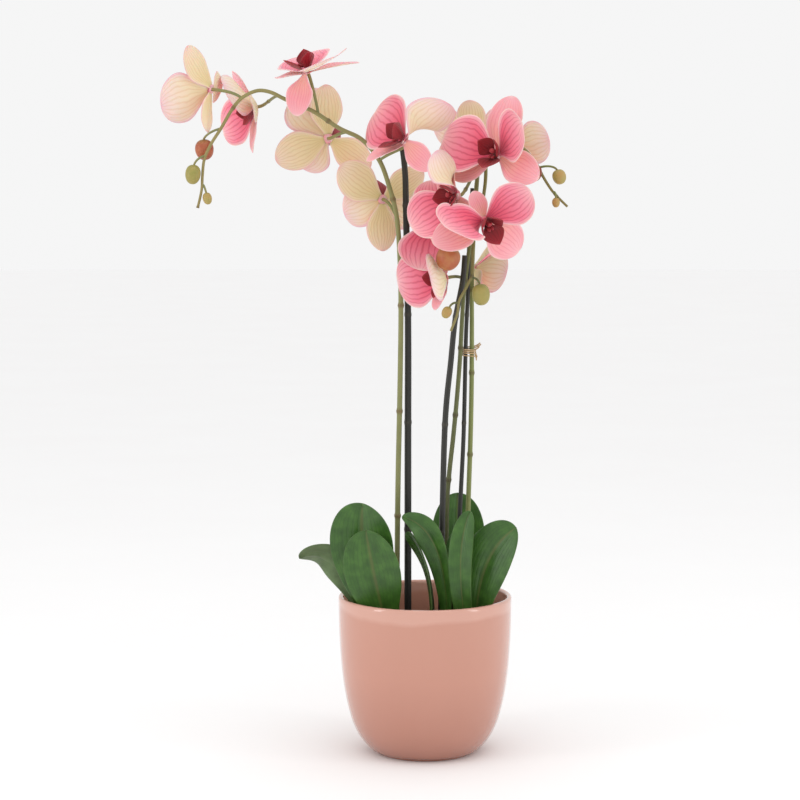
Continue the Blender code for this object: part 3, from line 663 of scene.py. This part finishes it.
def tidy_mesh(mesh):
    work = bmesh.new()
    work.from_mesh(mesh)
    bmesh.ops.remove_doubles(work, verts=work.verts, dist=1e-6)
    bmesh.ops.recalc_face_normals(work, faces=work.faces)
    work.to_mesh(mesh)
    work.free()
    return mesh


def chip_tree(surface):
    """Bark chips strewn over a bed, each a squashed and roughened lump."""
    tree, given = new_tree("bark_chips", [("Density", "Float"), ("Chip Size", "Float"),
                                          ("Seed", "Int")])
    strewn = add(tree, "GeometryNodeDistributePointsOnFaces",
                 {"Mesh": given["Geometry"], "Distance Min": given["Chip Size"],
                  "Density Max": given["Density"], "Seed": given["Seed"]},
                 distribute_method="POISSON")
    lump = add(tree, "GeometryNodeMeshIcoSphere", {"Radius": 1.0, "Subdivisions": 2})
    lumpy = add(tree, "ShaderNodeTexNoise", {"Scale": 1.3, "Detail": 2.0})
    push = add(tree, "ShaderNodeVectorMath", {0: lumpy.outputs["Color"], 1: (0.5, 0.5, 0.5)},
               operation="SUBTRACT")
    push = add(tree, "ShaderNodeVectorMath", {0: push.outputs[0], "Scale": 1.6},
               operation="SCALE")
    rough = add(tree, "GeometryNodeSetPosition", {"Geometry": lump.outputs["Mesh"],
                                                  "Offset": push.outputs[0]})
    turn = add(tree, "FunctionNodeRandomValue", {0: (-0.5, -0.5, 0.0), 1: (0.5, 0.5, 6.28),
                                                 "Seed": 3}, data_type="FLOAT_VECTOR")
    size = add(tree, "FunctionNodeRandomValue", {0: (0.0038, 0.0024, 0.0012),
                                                 1: (0.0085, 0.005, 0.0028), "Seed": 5},
               data_type="FLOAT_VECTOR")
    chips = add(tree, "GeometryNodeInstanceOnPoints",
                {"Points": strewn.outputs["Points"], "Instance": rough.outputs[0],
                 "Rotation": turn.outputs[0], "Scale": size.outputs[0]})
    tone = add(tree, "FunctionNodeRandomValue", {2: 0.0, 3: 1.0, "Seed": 7}, data_type="FLOAT")
    toned = add(tree, "GeometryNodeStoreNamedAttribute",
                {"Geometry": chips.outputs[0], "Name": "tone", "Value": tone.outputs[1]},
                data_type="FLOAT", domain="INSTANCE")
    real = add(tree, "GeometryNodeRealizeInstances", {"Geometry": toned.outputs[0]})
    made = add(tree, "GeometryNodeSetMaterial", {"Geometry": real.outputs[0],
                                                 "Material": surface})
    add(tree, "NodeGroupOutput", {0: made.outputs[0]})
    return tree


# ---- surfaces -------------------------------------------------------------------------------
def margin_nodes(tree):
    """How near a point of a blade is to its margin, 0 in the middle of the foot to 1."""
    along = add(tree, "ShaderNodeAttribute", attribute_name="along")
    across = add(tree, "ShaderNodeAttribute", attribute_name="across")
    flat = add(tree, "ShaderNodeMath", {0: across.outputs["Fac"]}, operation="ABSOLUTE")
    side = add(tree, "ShaderNodeMath", {0: flat.outputs[0], 1: 2.1}, operation="POWER")
    end = add(tree, "ShaderNodeMath", {0: along.outputs["Fac"], 1: 2.4}, operation="POWER")
    both = add(tree, "ShaderNodeMath", {0: side.outputs[0], 1: end.outputs[0]},
               operation="MAXIMUM")
    return along.outputs["Fac"], across.outputs["Fac"], both.outputs[0]


def vein_nodes(tree, along, across, count, wander):
    """Veins that fan out from a blade's foot: dark lines where the value nears 1."""
    grain = add(tree, "ShaderNodeTexCoord")
    noise = add(tree, "ShaderNodeTexNoise", {"Vector": grain.outputs["Object"], "Scale": 90.0,
                                             "Detail": 2.0})
    shift = add(tree, "ShaderNodeMath", {0: noise.outputs["Fac"], 1: wander},
                operation="MULTIPLY")
    spread = add(tree, "ShaderNodeMath", {0: across, 1: count, 2: shift.outputs[0]},
                 operation="MULTIPLY_ADD")
    wave = add(tree, "ShaderNodeMath", {0: spread.outputs[0]}, operation="PINGPONG")
    wave.inputs[1].default_value = 0.5
    line = add(tree, "ShaderNodeMapRange", {"Value": wave.outputs[0], "From Min": 0.26,
                                            "From Max": 0.0, "To Min": 0.0, "To Max": 1.0},
               interpolation_type="SMOOTHSTEP")
    return line.outputs[0], noise.outputs["Fac"]


def tinted(tree, factor, base, tint):
    mixed = add(tree, "ShaderNodeMix", {0: factor, 6: base, 7: tint}, data_type="RGBA")
    return mixed.outputs[2]


def petal_cloth(name, face_stops, back_stops, face_vein, back_vein, vein_strength):
    """Printed polyester petal cloth: soft matt, dyed in rings with veins drawn to the foot."""
    surface, tree, shader = finish(name, Roughness=0.62, IOR=1.45, Sheen_Weight=0.25,
                                   Sheen_Roughness=0.5, Subsurface_Weight=0.18,
                                   Subsurface_Scale=0.003)
    along, across, margin = margin_nodes(tree)
    line, cloud = vein_nodes(tree, along, across, 7.0, 1.1)
    uneven = add(tree, "ShaderNodeMath", {0: cloud, 1: 0.22, 2: -0.11}, operation="MULTIPLY_ADD")
    reach = add(tree, "ShaderNodeMath", {0: margin, 1: uneven.outputs[0]}, operation="ADD",
                use_clamp=True)
    mixture = add(tree, "ShaderNodeMath", {0: along, 1: 0.72}, operation="MULTIPLY")
    depth = add(tree, "ShaderNodeMath", {0: reach.outputs[0], 1: mixture.outputs[0]},
                operation="MAXIMUM")
    face = add(tree, "ShaderNodeValToRGB", {0: depth.outputs[0]}, stops=face_stops)
    back = add(tree, "ShaderNodeValToRGB", {0: depth.outputs[0]}, stops=back_stops)
    fade = add(tree, "ShaderNodeMapRange", {"Value": depth.outputs[0], "From Min": 0.15,
                                            "From Max": 0.85, "To Min": vein_strength,
                                            "To Max": 0.0})
    drawn = add(tree, "ShaderNodeMath", {0: line, 1: fade.outputs[0]}, operation="MULTIPLY")
    front = tinted(tree, drawn.outputs[0], face.outputs[0], linear(face_vein))
    faint = add(tree, "ShaderNodeMath", {0: line, 1: 0.35}, operation="MULTIPLY")
    rear = tinted(tree, faint.outputs[0], back.outputs[0], linear(back_vein))
    upper = add(tree, "ShaderNodeAttribute", attribute_name="upper")
    colour = tinted(tree, upper.outputs["Fac"], rear, front)
    tone = add(tree, "ShaderNodeAttribute", attribute_name="tone")
    light = add(tree, "ShaderNodeMapRange", {"Value": tone.outputs["Fac"], "To Min": 0.94,
                                             "To Max": 1.06})
    final = add(tree, "ShaderNodeHueSaturation", {"Color": colour, "Value": light.outputs[0]})
    tree.links.new(final.outputs[0], shader.inputs["Base Color"])
    relief = add(tree, "ShaderNodeBump", {"Height": line, "Strength": 0.35, "Distance": 0.0004},
                 invert=True)
    tree.links.new(relief.outputs[0], shader.inputs["Normal"])
    return surface


def lip_cloth():
    """Flocked deep red lip, nearly black in the throat, with darker veins."""
    surface, tree, shader = finish("deep_red_lip_cloth", Roughness=0.5, IOR=1.45,
                                   Sheen_Weight=0.15)
    along, across, margin = margin_nodes(tree)
    line, cloud = vein_nodes(tree, along, across, 5.0, 1.4)
    base = add(tree, "ShaderNodeValToRGB", {0: along},
               stops=[(0.0, "#5E070C"), (0.35, "#860D17"), (0.75, "#A21A26"), (1.0, "#B8323C")])
    faint = add(tree, "ShaderNodeMath", {0: line, 1: 0.45}, operation="MULTIPLY")
    colour = tinted(tree, faint.outputs[0], base.outputs[0], linear("#5A0408"))
    cloudy = add(tree, "ShaderNodeMath", {0: cloud, 1: 0.3}, operation="MULTIPLY")
    colour = tinted(tree, cloudy.outputs[0], colour, linear("#A3142A"))
    tree.links.new(colour, shader.inputs["Base Color"])
    relief = add(tree, "ShaderNodeBump", {"Height": line, "Strength": 0.4, "Distance": 0.0004},
                 invert=True)
    tree.links.new(relief.outputs[0], shader.inputs["Normal"])
    return surface


def mottled(name, stops, scale, bump, **sockets):
    """A surface of cloudy colour with grain of one size, in Object coordinates."""
    surface, tree, shader = finish(name, **sockets)
    place = add(tree, "ShaderNodeTexCoord")
    cloud = add(tree, "ShaderNodeTexNoise", {"Vector": place.outputs["Object"], "Scale": scale,
                                             "Detail": 4.0, "Roughness": 0.6})
    colour = add(tree, "ShaderNodeValToRGB", {0: cloud.outputs["Fac"]}, stops=stops)
    tree.links.new(colour.outputs[0], shader.inputs["Base Color"])
    relief = add(tree, "ShaderNodeBump", {"Height": cloud.outputs["Fac"], "Strength": bump,
                                          "Distance": 0.0006})
    tree.links.new(relief.outputs[0], shader.inputs["Normal"])
    return surface


def glazed_earthenware():
    """Peach-pink gloss glaze on earthenware, with painted shade: the colour darkens towards the bottom
    and is lightest at the rim.
    """
    surface, tree, shader = finish("glazed_earthenware", IOR=1.5, Coat_Weight=0.5,
                                   Coat_Roughness=0.04)
    place = add(tree, "ShaderNodeTexCoord")
    split = add(tree, "ShaderNodeSeparateXYZ", {0: place.outputs["Object"]})
    cloud = add(tree, "ShaderNodeTexNoise", {"Vector": place.outputs["Object"], "Scale": 14.0,
                                             "Detail": 5.0})
    # painted shade: the glaze colour is set by height, darkest at the bottom of the pot and lightest at
    # the rim
    high = add(tree, "ShaderNodeMapRange", {"Value": split.outputs["Z"], "From Min": 0.0,
                                            "From Max": 0.157})
    mixed = add(tree, "ShaderNodeMath", {0: cloud.outputs["Fac"], 1: 0.12,
                                         2: high.outputs[0]}, operation="MULTIPLY_ADD")
    colour = add(tree, "ShaderNodeValToRGB", {0: mixed.outputs[0]},
                 stops=[(0.0, "#A06B5A"), (0.25, "#B57D6B"), (0.6, "#C38A77"),
                        (0.97, "#C58D7A"), (1.0, "#D09D8C")])
    tree.links.new(colour.outputs[0], shader.inputs["Base Color"])
    fine = add(tree, "ShaderNodeTexNoise", {"Vector": place.outputs["Object"], "Scale": 160.0,
                                            "Detail": 2.0})
    rough = add(tree, "ShaderNodeMapRange", {"Value": fine.outputs["Fac"], "To Min": 0.08,
                                             "To Max": 0.14})
    tree.links.new(rough.outputs[0], shader.inputs["Roughness"])
    relief = add(tree, "ShaderNodeBump", {"Height": fine.outputs["Fac"], "Strength": 0.04,
                                          "Distance": 0.0006})
    tree.links.new(relief.outputs[0], shader.inputs["Normal"])
    return surface


def waxy_leaf():
    """Thick waxy leaf: dark blue-green, fine veins along it, a paler keel and underside."""
    surface, tree, shader = finish("waxy_orchid_leaf", IOR=1.45, Roughness=0.38,
                                   Coat_Weight=0.12, Coat_Roughness=0.25)
    along, across, margin = margin_nodes(tree)
    line, cloud = vein_nodes(tree, along, across, 9.0, 0.5)
    face = add(tree, "ShaderNodeValToRGB", {0: cloud},
               stops=[(0.25, "#2C5018"), (0.5, "#365E1E"), (0.75, "#446E27")])
    back = add(tree, "ShaderNodeValToRGB", {0: cloud},
               stops=[(0.25, "#40552A"), (0.75, "#5E7548")])
    faint = add(tree, "ShaderNodeMath", {0: line, 1: 0.22}, operation="MULTIPLY")
    front = tinted(tree, faint.outputs[0], face.outputs[0], linear("#26431A"))
    flat = add(tree, "ShaderNodeMath", {0: across}, operation="ABSOLUTE")
    keel = add(tree, "ShaderNodeMapRange", {"Value": flat.outputs[0], "From Min": 0.0,
                                            "From Max": 0.07, "To Min": 0.45, "To Max": 0.0},
               interpolation_type="SMOOTHSTEP")
    front = tinted(tree, keel.outputs[0], front, linear("#6B6A3A"))
    rim = add(tree, "ShaderNodeMapRange", {"Value": margin, "From Min": 0.9, "From Max": 1.0,
                                           "To Min": 0.0, "To Max": 0.4})
    front = tinted(tree, rim.outputs[0], front, linear("#7C8A4A"))
    upper = add(tree, "ShaderNodeAttribute", attribute_name="upper")
    colour = tinted(tree, upper.outputs["Fac"], back.outputs[0], front)
    tree.links.new(colour, shader.inputs["Base Color"])
    relief = add(tree, "ShaderNodeBump", {"Height": line, "Strength": 0.25, "Distance": 0.0004},
                 invert=True)
    tree.links.new(relief.outputs[0], shader.inputs["Normal"])
    return surface


def jointed_stem(name, foot, middle, tip, joint, **sockets):
    """A stem coloured from foot to tip, with mottling and a band of its own at each joint."""
    surface, tree, shader = finish(name, **sockets)
    along = add(tree, "ShaderNodeAttribute", attribute_name="along")
    ring = add(tree, "ShaderNodeAttribute", attribute_name="joint")
    place = add(tree, "ShaderNodeTexCoord")
    stretch = add(tree, "ShaderNodeMapping", {"Vector": place.outputs["Object"],
                                              "Scale": (1.0, 1.0, 0.12)})
    grain = add(tree, "ShaderNodeTexNoise", {"Vector": stretch.outputs[0], "Scale": 900.0,
                                             "Detail": 3.0})
    cloud = add(tree, "ShaderNodeTexNoise", {"Vector": place.outputs["Object"], "Scale": 60.0,
                                             "Detail": 3.0})
    base = add(tree, "ShaderNodeValToRGB", {0: along.outputs["Fac"]},
               stops=[(0.0, foot), (0.55, middle), (1.0, tip)])
    darker = add(tree, "ShaderNodeHueSaturation", {"Color": base.outputs[0], "Value": 0.72})
    colour = tinted(tree, cloud.outputs["Fac"], base.outputs[0], darker.outputs[0])
    band = add(tree, "ShaderNodeMath", {0: ring.outputs["Fac"], 1: 3.0}, operation="MULTIPLY",
               use_clamp=True)
    colour = tinted(tree, band.outputs[0], colour, linear(joint))
    tree.links.new(colour, shader.inputs["Base Color"])
    relief = add(tree, "ShaderNodeBump", {"Height": grain.outputs["Fac"], "Strength": 0.25,
                                          "Distance": 0.0003})
    tree.links.new(relief.outputs[0], shader.inputs["Normal"])
    return surface


def bud_skin():
    """Bud skin: olive green ripening to red-brown, streaked from its stalk, satin."""
    surface, tree, shader = finish("satin_bud_skin", Roughness=0.42, IOR=1.45)
    tone = add(tree, "ShaderNodeAttribute", attribute_name="tone")
    along = add(tree, "ShaderNodeAttribute", attribute_name="along")
    place = add(tree, "ShaderNodeTexCoord")
    cloud = add(tree, "ShaderNodeTexNoise", {"Vector": place.outputs["Object"], "Scale": 110.0,
                                             "Detail": 4.0})
    part = add(tree, "ShaderNodeMath", {0: cloud.outputs["Fac"], 1: 0.5,
                                        2: tone.outputs["Fac"]}, operation="MULTIPLY_ADD")
    part = add(tree, "ShaderNodeMath", {0: part.outputs[0], 1: 0.25}, operation="SUBTRACT",
               use_clamp=True)
    colour = add(tree, "ShaderNodeValToRGB", {0: part.outputs[0]},
                 stops=[(0.0, "#8C8A46"), (0.25, "#A89655"), (0.55, "#B9824F"),
                        (0.75, "#B0613F"), (1.0, "#7E3020")])
    stalk = add(tree, "ShaderNodeMapRange", {"Value": along.outputs["Fac"], "From Min": 0.0,
                                             "From Max": 0.3, "To Min": 0.6, "To Max": 0.0})
    mixed = tinted(tree, stalk.outputs[0], colour.outputs[0], linear("#7F8446"))
    tree.links.new(mixed, shader.inputs["Base Color"])
    relief = add(tree, "ShaderNodeBump", {"Height": cloud.outputs["Fac"], "Strength": 0.2,
                                          "Distance": 0.0005})
    tree.links.new(relief.outputs[0], shader.inputs["Normal"])
    return surface


def graded(name, stops, **sockets):
    """A surface shaded from one end of a rounded body to the other, faintly mottled."""
    surface, tree, shader = finish(name, **sockets)
    along = add(tree, "ShaderNodeAttribute", attribute_name="along")
    place = add(tree, "ShaderNodeTexCoord")
    cloud = add(tree, "ShaderNodeTexNoise", {"Vector": place.outputs["Object"], "Scale": 700.0,
                                             "Detail": 2.0})
    mixed = add(tree, "ShaderNodeMath", {0: cloud.outputs["Fac"], 1: 0.25,
                                         2: along.outputs["Fac"]}, operation="MULTIPLY_ADD")
    colour = add(tree, "ShaderNodeValToRGB", {0: mixed.outputs[0]}, stops=stops)
    tree.links.new(colour.outputs[0], shader.inputs["Base Color"])
    relief = add(tree, "ShaderNodeBump", {"Height": cloud.outputs["Fac"], "Strength": 0.2,
                                          "Distance": 0.0003})
    tree.links.new(relief.outputs[0], shader.inputs["Normal"])
    return surface


# ---- pot, bark, stakes, spikes, buds, tie ------------------------------------------------------
def outer_radius(height):
    for (low, r_low), (high, r_high) in zip(POT_OUTSIDE, POT_OUTSIDE[1:]):
        if height <= high:
            return r_low + (r_high - r_low) * (height - low) / (high - low)
    return POT_OUTSIDE[-1][1]


def throw_pot(glaze):
    lip = POT_WALL / 2
    rim = [(POT_HEIGHT - lip + lip * math.sin(math.radians(a)),
            POT_OUTSIDE[-1][1] - lip + lip * math.cos(math.radians(a)))
           for a in range(180, -1, -20)]
    inside = [(POT_FLOOR, 0.0), (POT_FLOOR, 50.0), (11.0, 54.5)]
    inside += [(h, outer_radius(h) - POT_WALL) for h in (14, 20, 26, 33, 40, 50, 60, 74, 87, 104,
                                                         120, 140)]
    smooth = smooth_path([Vector((r, 0.0, h)) for h, r in POT_OUTSIDE[2:]], 4)
    outside = [(p.z, p.x) for p in reversed(smooth)]
    foot = [(2.6, 51.8), (1.2, 51.2), (0.0, 50.0), (0.0, 0.0)]
    mesh = turned_body("glazed_pot_body", inside + rim + outside + foot, glaze)
    show("glazed_pot_body", mesh, "pot", "glazed_pot", glaze)


def lay_bark(bark):
    rough = random.Random(12)
    sides = [(h, outer_radius(h) - POT_WALL - 0.5) for h in (110, 87, 60, 40, 26, 15)]
    top = [(MEDIUM_TOP - 1.5, r) for r in range(0, 80, 6)]
    profile = [*top, *sides, (POT_FLOOR + 0.5, 49.0), (POT_FLOOR + 0.5, 0.0)]
    bed = turned_body("bark_bed", profile, bark, sides=96, rows=120)
    for vertex in bed.vertices:
        if vertex.co.z > (MEDIUM_TOP - 3) * MM:
            vertex.co.z += rough.uniform(-0.8, 0.8) * MM
    show("bark_bed", bed, "growing_medium", "bark", bark)
    work = bmesh.new()
    bmesh.ops.create_circle(work, cap_ends=True, segments=64, radius=0.073)
    disc = bpy.data.meshes.new("chip_field")
    work.to_mesh(disc)
    work.free()
    disc.transform(Matrix.Translation((0, 0, (MEDIUM_TOP - 0.5) * MM)))
    field = bpy.data.objects.new("chip_field", disc)
    bpy.context.scene.collection.objects.link(field)
    mesh = run_tree(field, chip_tree(bark), "bark_chips", Density=60000.0, Chip_Size=0.0062,
                    Seed=4)
    show("bark_chips", mesh, "growing_medium", "bark", bark)


def set_stakes(bamboo):
    for name, (foot, top, points) in STAKES.items():
        path = smooth_path(from_medium(points), 6)
        mesh = run_tree(rods(name + "_rod", [(path, foot, top)]), rod_tree(bamboo),
                        "bamboo_" + name, Sides=20, First_Joint=0.028, Joint_Spacing=0.107,
                        Swelling=0.14, Joint_Length=0.003)
        show("bamboo_" + name, tidy_mesh(mesh), name, "stake_lacquer", bamboo)


def bud_body(centre, radius, half_length, lean):
    """A bud hanging from its stalk: blunt, slightly three-sided, drawn in to a point."""
    turn = Vector(lean).to_track_quat("Z", "Y")
    middle = Vector(centre)

    def place(share, angle):
        z = -math.cos(math.pi * share)
        reach = math.sin(math.pi * share) ** 0.85 * (1 - 0.06 * z)
        groove = 1 - 0.05 * max(0.0, math.cos(3 * angle)) ** 6 * math.sin(math.pi * share)
        local = Vector((reach * groove * radius * math.cos(angle),
                        reach * groove * radius * math.sin(angle), z * half_length))
        return middle + turn @ local
    return place


def grow_spikes(stem_skins, bud):
    joints = {"spike_left": (0.045, 0.1045), "spike_middle": (0.052, 0.0665),
              "spike_right": (0.047, 0.0815)}
    for name, (foot_radius, tip_radius, points) in SPIKES.items():
        here = [Vector(p) for p in points]
        paths = [(smooth_path(from_medium(points), 8), foot_radius, tip_radius)]
        for centre, azimuth, elevation, roll, _, _, spike, place in FLOWERS:
            if spike != name:
                continue
            face = flower_turn(azimuth, elevation, roll).to_3x3() @ Vector((0, 0, 1))
            hub = Vector(centre)
            foot = on_curve(here, place)
            far = hub - face * STALK_STRAIGHT
            bend = foot + (far - foot) * 0.35 + Vector((0, 0, 4))
            stalk = [*bezier(foot, bend, far, hub - face * 3.5, 14), hub - face * 0.8]
            paths.append((stalk, STALK_RADIUS * 0.95, STALK_RADIUS * 1.2))
        skins = Skins()
        for spike, place, centre, radius, half_length, lean, ripe in BUDS:
            if spike != name:
                continue
            foot = on_curve(here, place)
            way = Vector(lean).normalized()
            top = Vector(centre) - way * half_length * 0.8
            far = top - way * 5
            stalk = bezier(foot, foot + (far - foot) * 0.5 + Vector((0, 0, 2)), far, top, 12)
            paths.append((stalk, 1.15, 1.0))
            skins.ball(bud_body(centre, radius, half_length, lean), ripe, rows=24, sides=30)
        first, spacing = joints[name]
        mesh = run_tree(rods(name + "_rods", paths), rod_tree(stem_skins[name]),
                        "stem_" + name, Sides=14, First_Joint=first, Joint_Spacing=spacing,
                        Swelling=0.3, Joint_Length=0.0035)
        show("stem_" + name, tidy_mesh(mesh), name, "spike_green", stem_skins[name])
        show("buds_" + name, skins.mesh("buds_" + name), name, "spike_green", bud)


def place_at_height(points, height):
    for a, b in zip(points, points[1:]):
        if a[2] <= height <= b[2]:
            f = (height - a[2]) / (b[2] - a[2])
            return Vector(a).lerp(Vector(b), f)
    return Vector(points[-1])


def wind_raffia(raffia):
    stake = place_at_height(STAKES["stake_right"][2], TIE_HEIGHT)
    stem = place_at_height(SPIKES["spike_right"][2], TIE_HEIGHT)
    middle = (stake + stem) / 2
    along = (stem - stake).normalized()
    across = Vector((0, 0, 1)).cross(along)
    reach = (stem - stake).length / 2 + 2.7 + 0.3 + TIE_RADIUS + 0.6
    girth = 2.7 + 0.3 + TIE_RADIUS + 0.8
    strands = []
    for strand, (turns, lift, swing) in enumerate([(2.0, 0.0, 0.0), (1.0, 1.6, 0.4),
                                                   (1.0, -1.9, -0.3)]):
        path = [middle + along * (reach + 6 - strand) - across * 2 + Vector((0, 0, 6 + lift))]
        path.append(middle + along * (reach + 2.6) - across + Vector((0, 0, 4.2 + lift)))
        steps = int(24 * turns)
        for k in range(steps + 1):
            turn = 2 * math.pi * k / 24
            rise = 3.0 - 2.2 * k / 12 + lift
            path.append(middle + along * reach * math.cos(turn)
                        + across * girth * math.sin(turn) + Vector((0, 0, rise)))
        path.append(middle + along * (reach + 2.5) + across * 2 + Vector((0, 0, -3.5 + lift)))
        path.append(middle + along * (reach + 4.5 + swing) + across * 2.5
                    + Vector((0, 0, -8 + lift)))
        strands.append((path, TIE_RADIUS * 0.9, TIE_RADIUS * 0.7))
    mesh = run_tree(rods("raffia_strands", strands), rod_tree(raffia), "raffia_strands",
                    Sides=8, First_Joint=9.0, Joint_Spacing=10.0, Swelling=0.0,
                    Joint_Length=0.001)
    show("raffia_strands", tidy_mesh(mesh), "raffia_tie", "raffia", raffia)


# ---- studio ---------------------------------------------------------------------------------------
def soft_box(name, place, target, width, height, power, colour="#FFFFFF"):
    light = bpy.data.lights.new(name, "AREA")
    light.shape = "RECTANGLE"
    light.size = width
    light.size_y = height
    light.energy = power
    light.color = linear(colour)[:3]
    box = bpy.data.objects.new(name, light)
    box.location = place
    box.rotation_euler = (Vector(target) - Vector(place)).to_track_quat("-Z", "Y").to_euler()
    bpy.context.scene.collection.objects.link(box)


def set_studio():
    scene = bpy.context.scene
    floor_mesh = bpy.data.meshes.new("studio_floor")
    reach = 14.0
    floor_mesh.from_pydata([(-reach, -reach, 0), (reach, -reach, 0), (reach, reach, 0),
                            (-reach, reach, 0)], [], [(0, 1, 2, 3)])
    floor = bpy.data.objects.new("studio_floor", floor_mesh)
    scene.collection.objects.link(floor)
    floor_mesh.materials.append(mottled("white_seamless_paper",
                                        [(0.0, "#FCFBFB"), (1.0, "#FFFFFF")], 3.0, 0.0,
                                        Roughness=0.85))
    world = bpy.data.worlds.new("white_room")
    world.use_nodes = True
    world.node_tree.nodes["Background"].inputs[0].default_value = linear("#FFFFFF")
    world.node_tree.nodes["Background"].inputs[1].default_value = 0.92
    scene.world = world
    soft_box("soft_box_left", (-1.5, -0.75, 0.6), (0, 0, 0.25), 0.35, 1.3, 5)
    soft_box("soft_box_right", (1.5, -0.65, 0.6), (0, 0, 0.25), 0.3, 1.3, 4)
    soft_box("soft_box_top", (0.1, -0.6, 1.9), (0, 0, 0.4), 1.4, 1.0, 4.0)
    scene.view_settings.view_transform = "Standard"
    camera = bpy.data.cameras.new("studio_camera")
    camera.sensor_width = 36.0
    camera.lens = 97.65
    viewer = bpy.data.objects.new("studio_camera", camera)
    viewer.location = (-0.0249, -2.1357, 0.5535)
    viewer.rotation_euler = (math.radians(90 - 5.4), 0.0, 0.0)
    scene.collection.objects.link(viewer)
    scene.camera = viewer


def main():
    petal = petal_cloth("dyed_petal_cloth",
                        [(0.0, "#D63A5A"), (0.16, "#E55772"), (0.34, "#EE8297"),
                         (0.54, "#F3ABB4"), (0.76, "#F5CAC8"), (1.0, "#F6DDD4")],
                        [(0.0, "#E6D09C"), (0.22, "#F0DFBE"), (0.42, "#F3DDD0"),
                         (0.66, "#F1CAD2"), (1.0, "#EDAEBF")],
                        "#B81E48", "#D8AE78", 0.6)
    sepal = petal_cloth("dyed_sepal_cloth",
                        [(0.0, "#EBA792"), (0.3, "#EE9BA2"), (0.55, "#F0ACB4"),
                         (0.8, "#F3C6C4"), (1.0, "#F5DBD1")],
                        [(0.0, "#DECB90"), (0.3, "#ECD9B0"), (0.52, "#F1DAC2"),
                         (0.78, "#F0C4C0"), (1.0, "#EBABB0")],
                        "#D85C70", "#C9A262", 0.4)
    column = graded("pink_column_wax", [(0.0, "#D8506A"), (0.5, "#EE93A4"), (1.1, "#F8E3CF")],
                    Roughness=0.4, IOR=1.45)
    callus = graded("orange_callus_wax", [(0.0, "#C8401C"), (0.5, "#DC6C2D"), (1.1, "#EE9A3A")],
                    Roughness=0.45, IOR=1.45)
    grow_flowers(petal, sepal, lip_cloth(), column, callus)
    grow_leaves(waxy_leaf())
    throw_pot(glazed_earthenware())
    lay_bark(mottled("composted_bark", [(0.3, "#2A1B12"), (0.5, "#4A3020"), (0.7, "#6E4A30")],
                     220.0, 0.8, Roughness=0.9))
    set_stakes(jointed_stem("black_bamboo", "#1F1E1A", "#24231E", "#2A2822", "#4A4436",
                            Roughness=0.45, IOR=1.5))
    stems = {
        "spike_left": jointed_stem("olive_stem_left", "#7E8050", "#8E8E5A", "#9A8A55",
                                   "#6E5A38", Roughness=0.45, IOR=1.45),
        "spike_middle": jointed_stem("olive_stem_middle", "#5D603E", "#6C7040", "#8F8450",
                                     "#4E4428", Roughness=0.45, IOR=1.45),
        "spike_right": jointed_stem("olive_stem_right", "#7C8448", "#838A4F", "#8A7A48",
                                    "#655C36", Roughness=0.45, IOR=1.45)}
    grow_spikes(stems, bud_skin())
    wind_raffia(mottled("split_raffia", [(0.3, "#9C7C52"), (0.55, "#BD9F77"), (0.8, "#D8BE98")],
                        400.0, 0.5, Roughness=0.75))
    set_studio()


main()
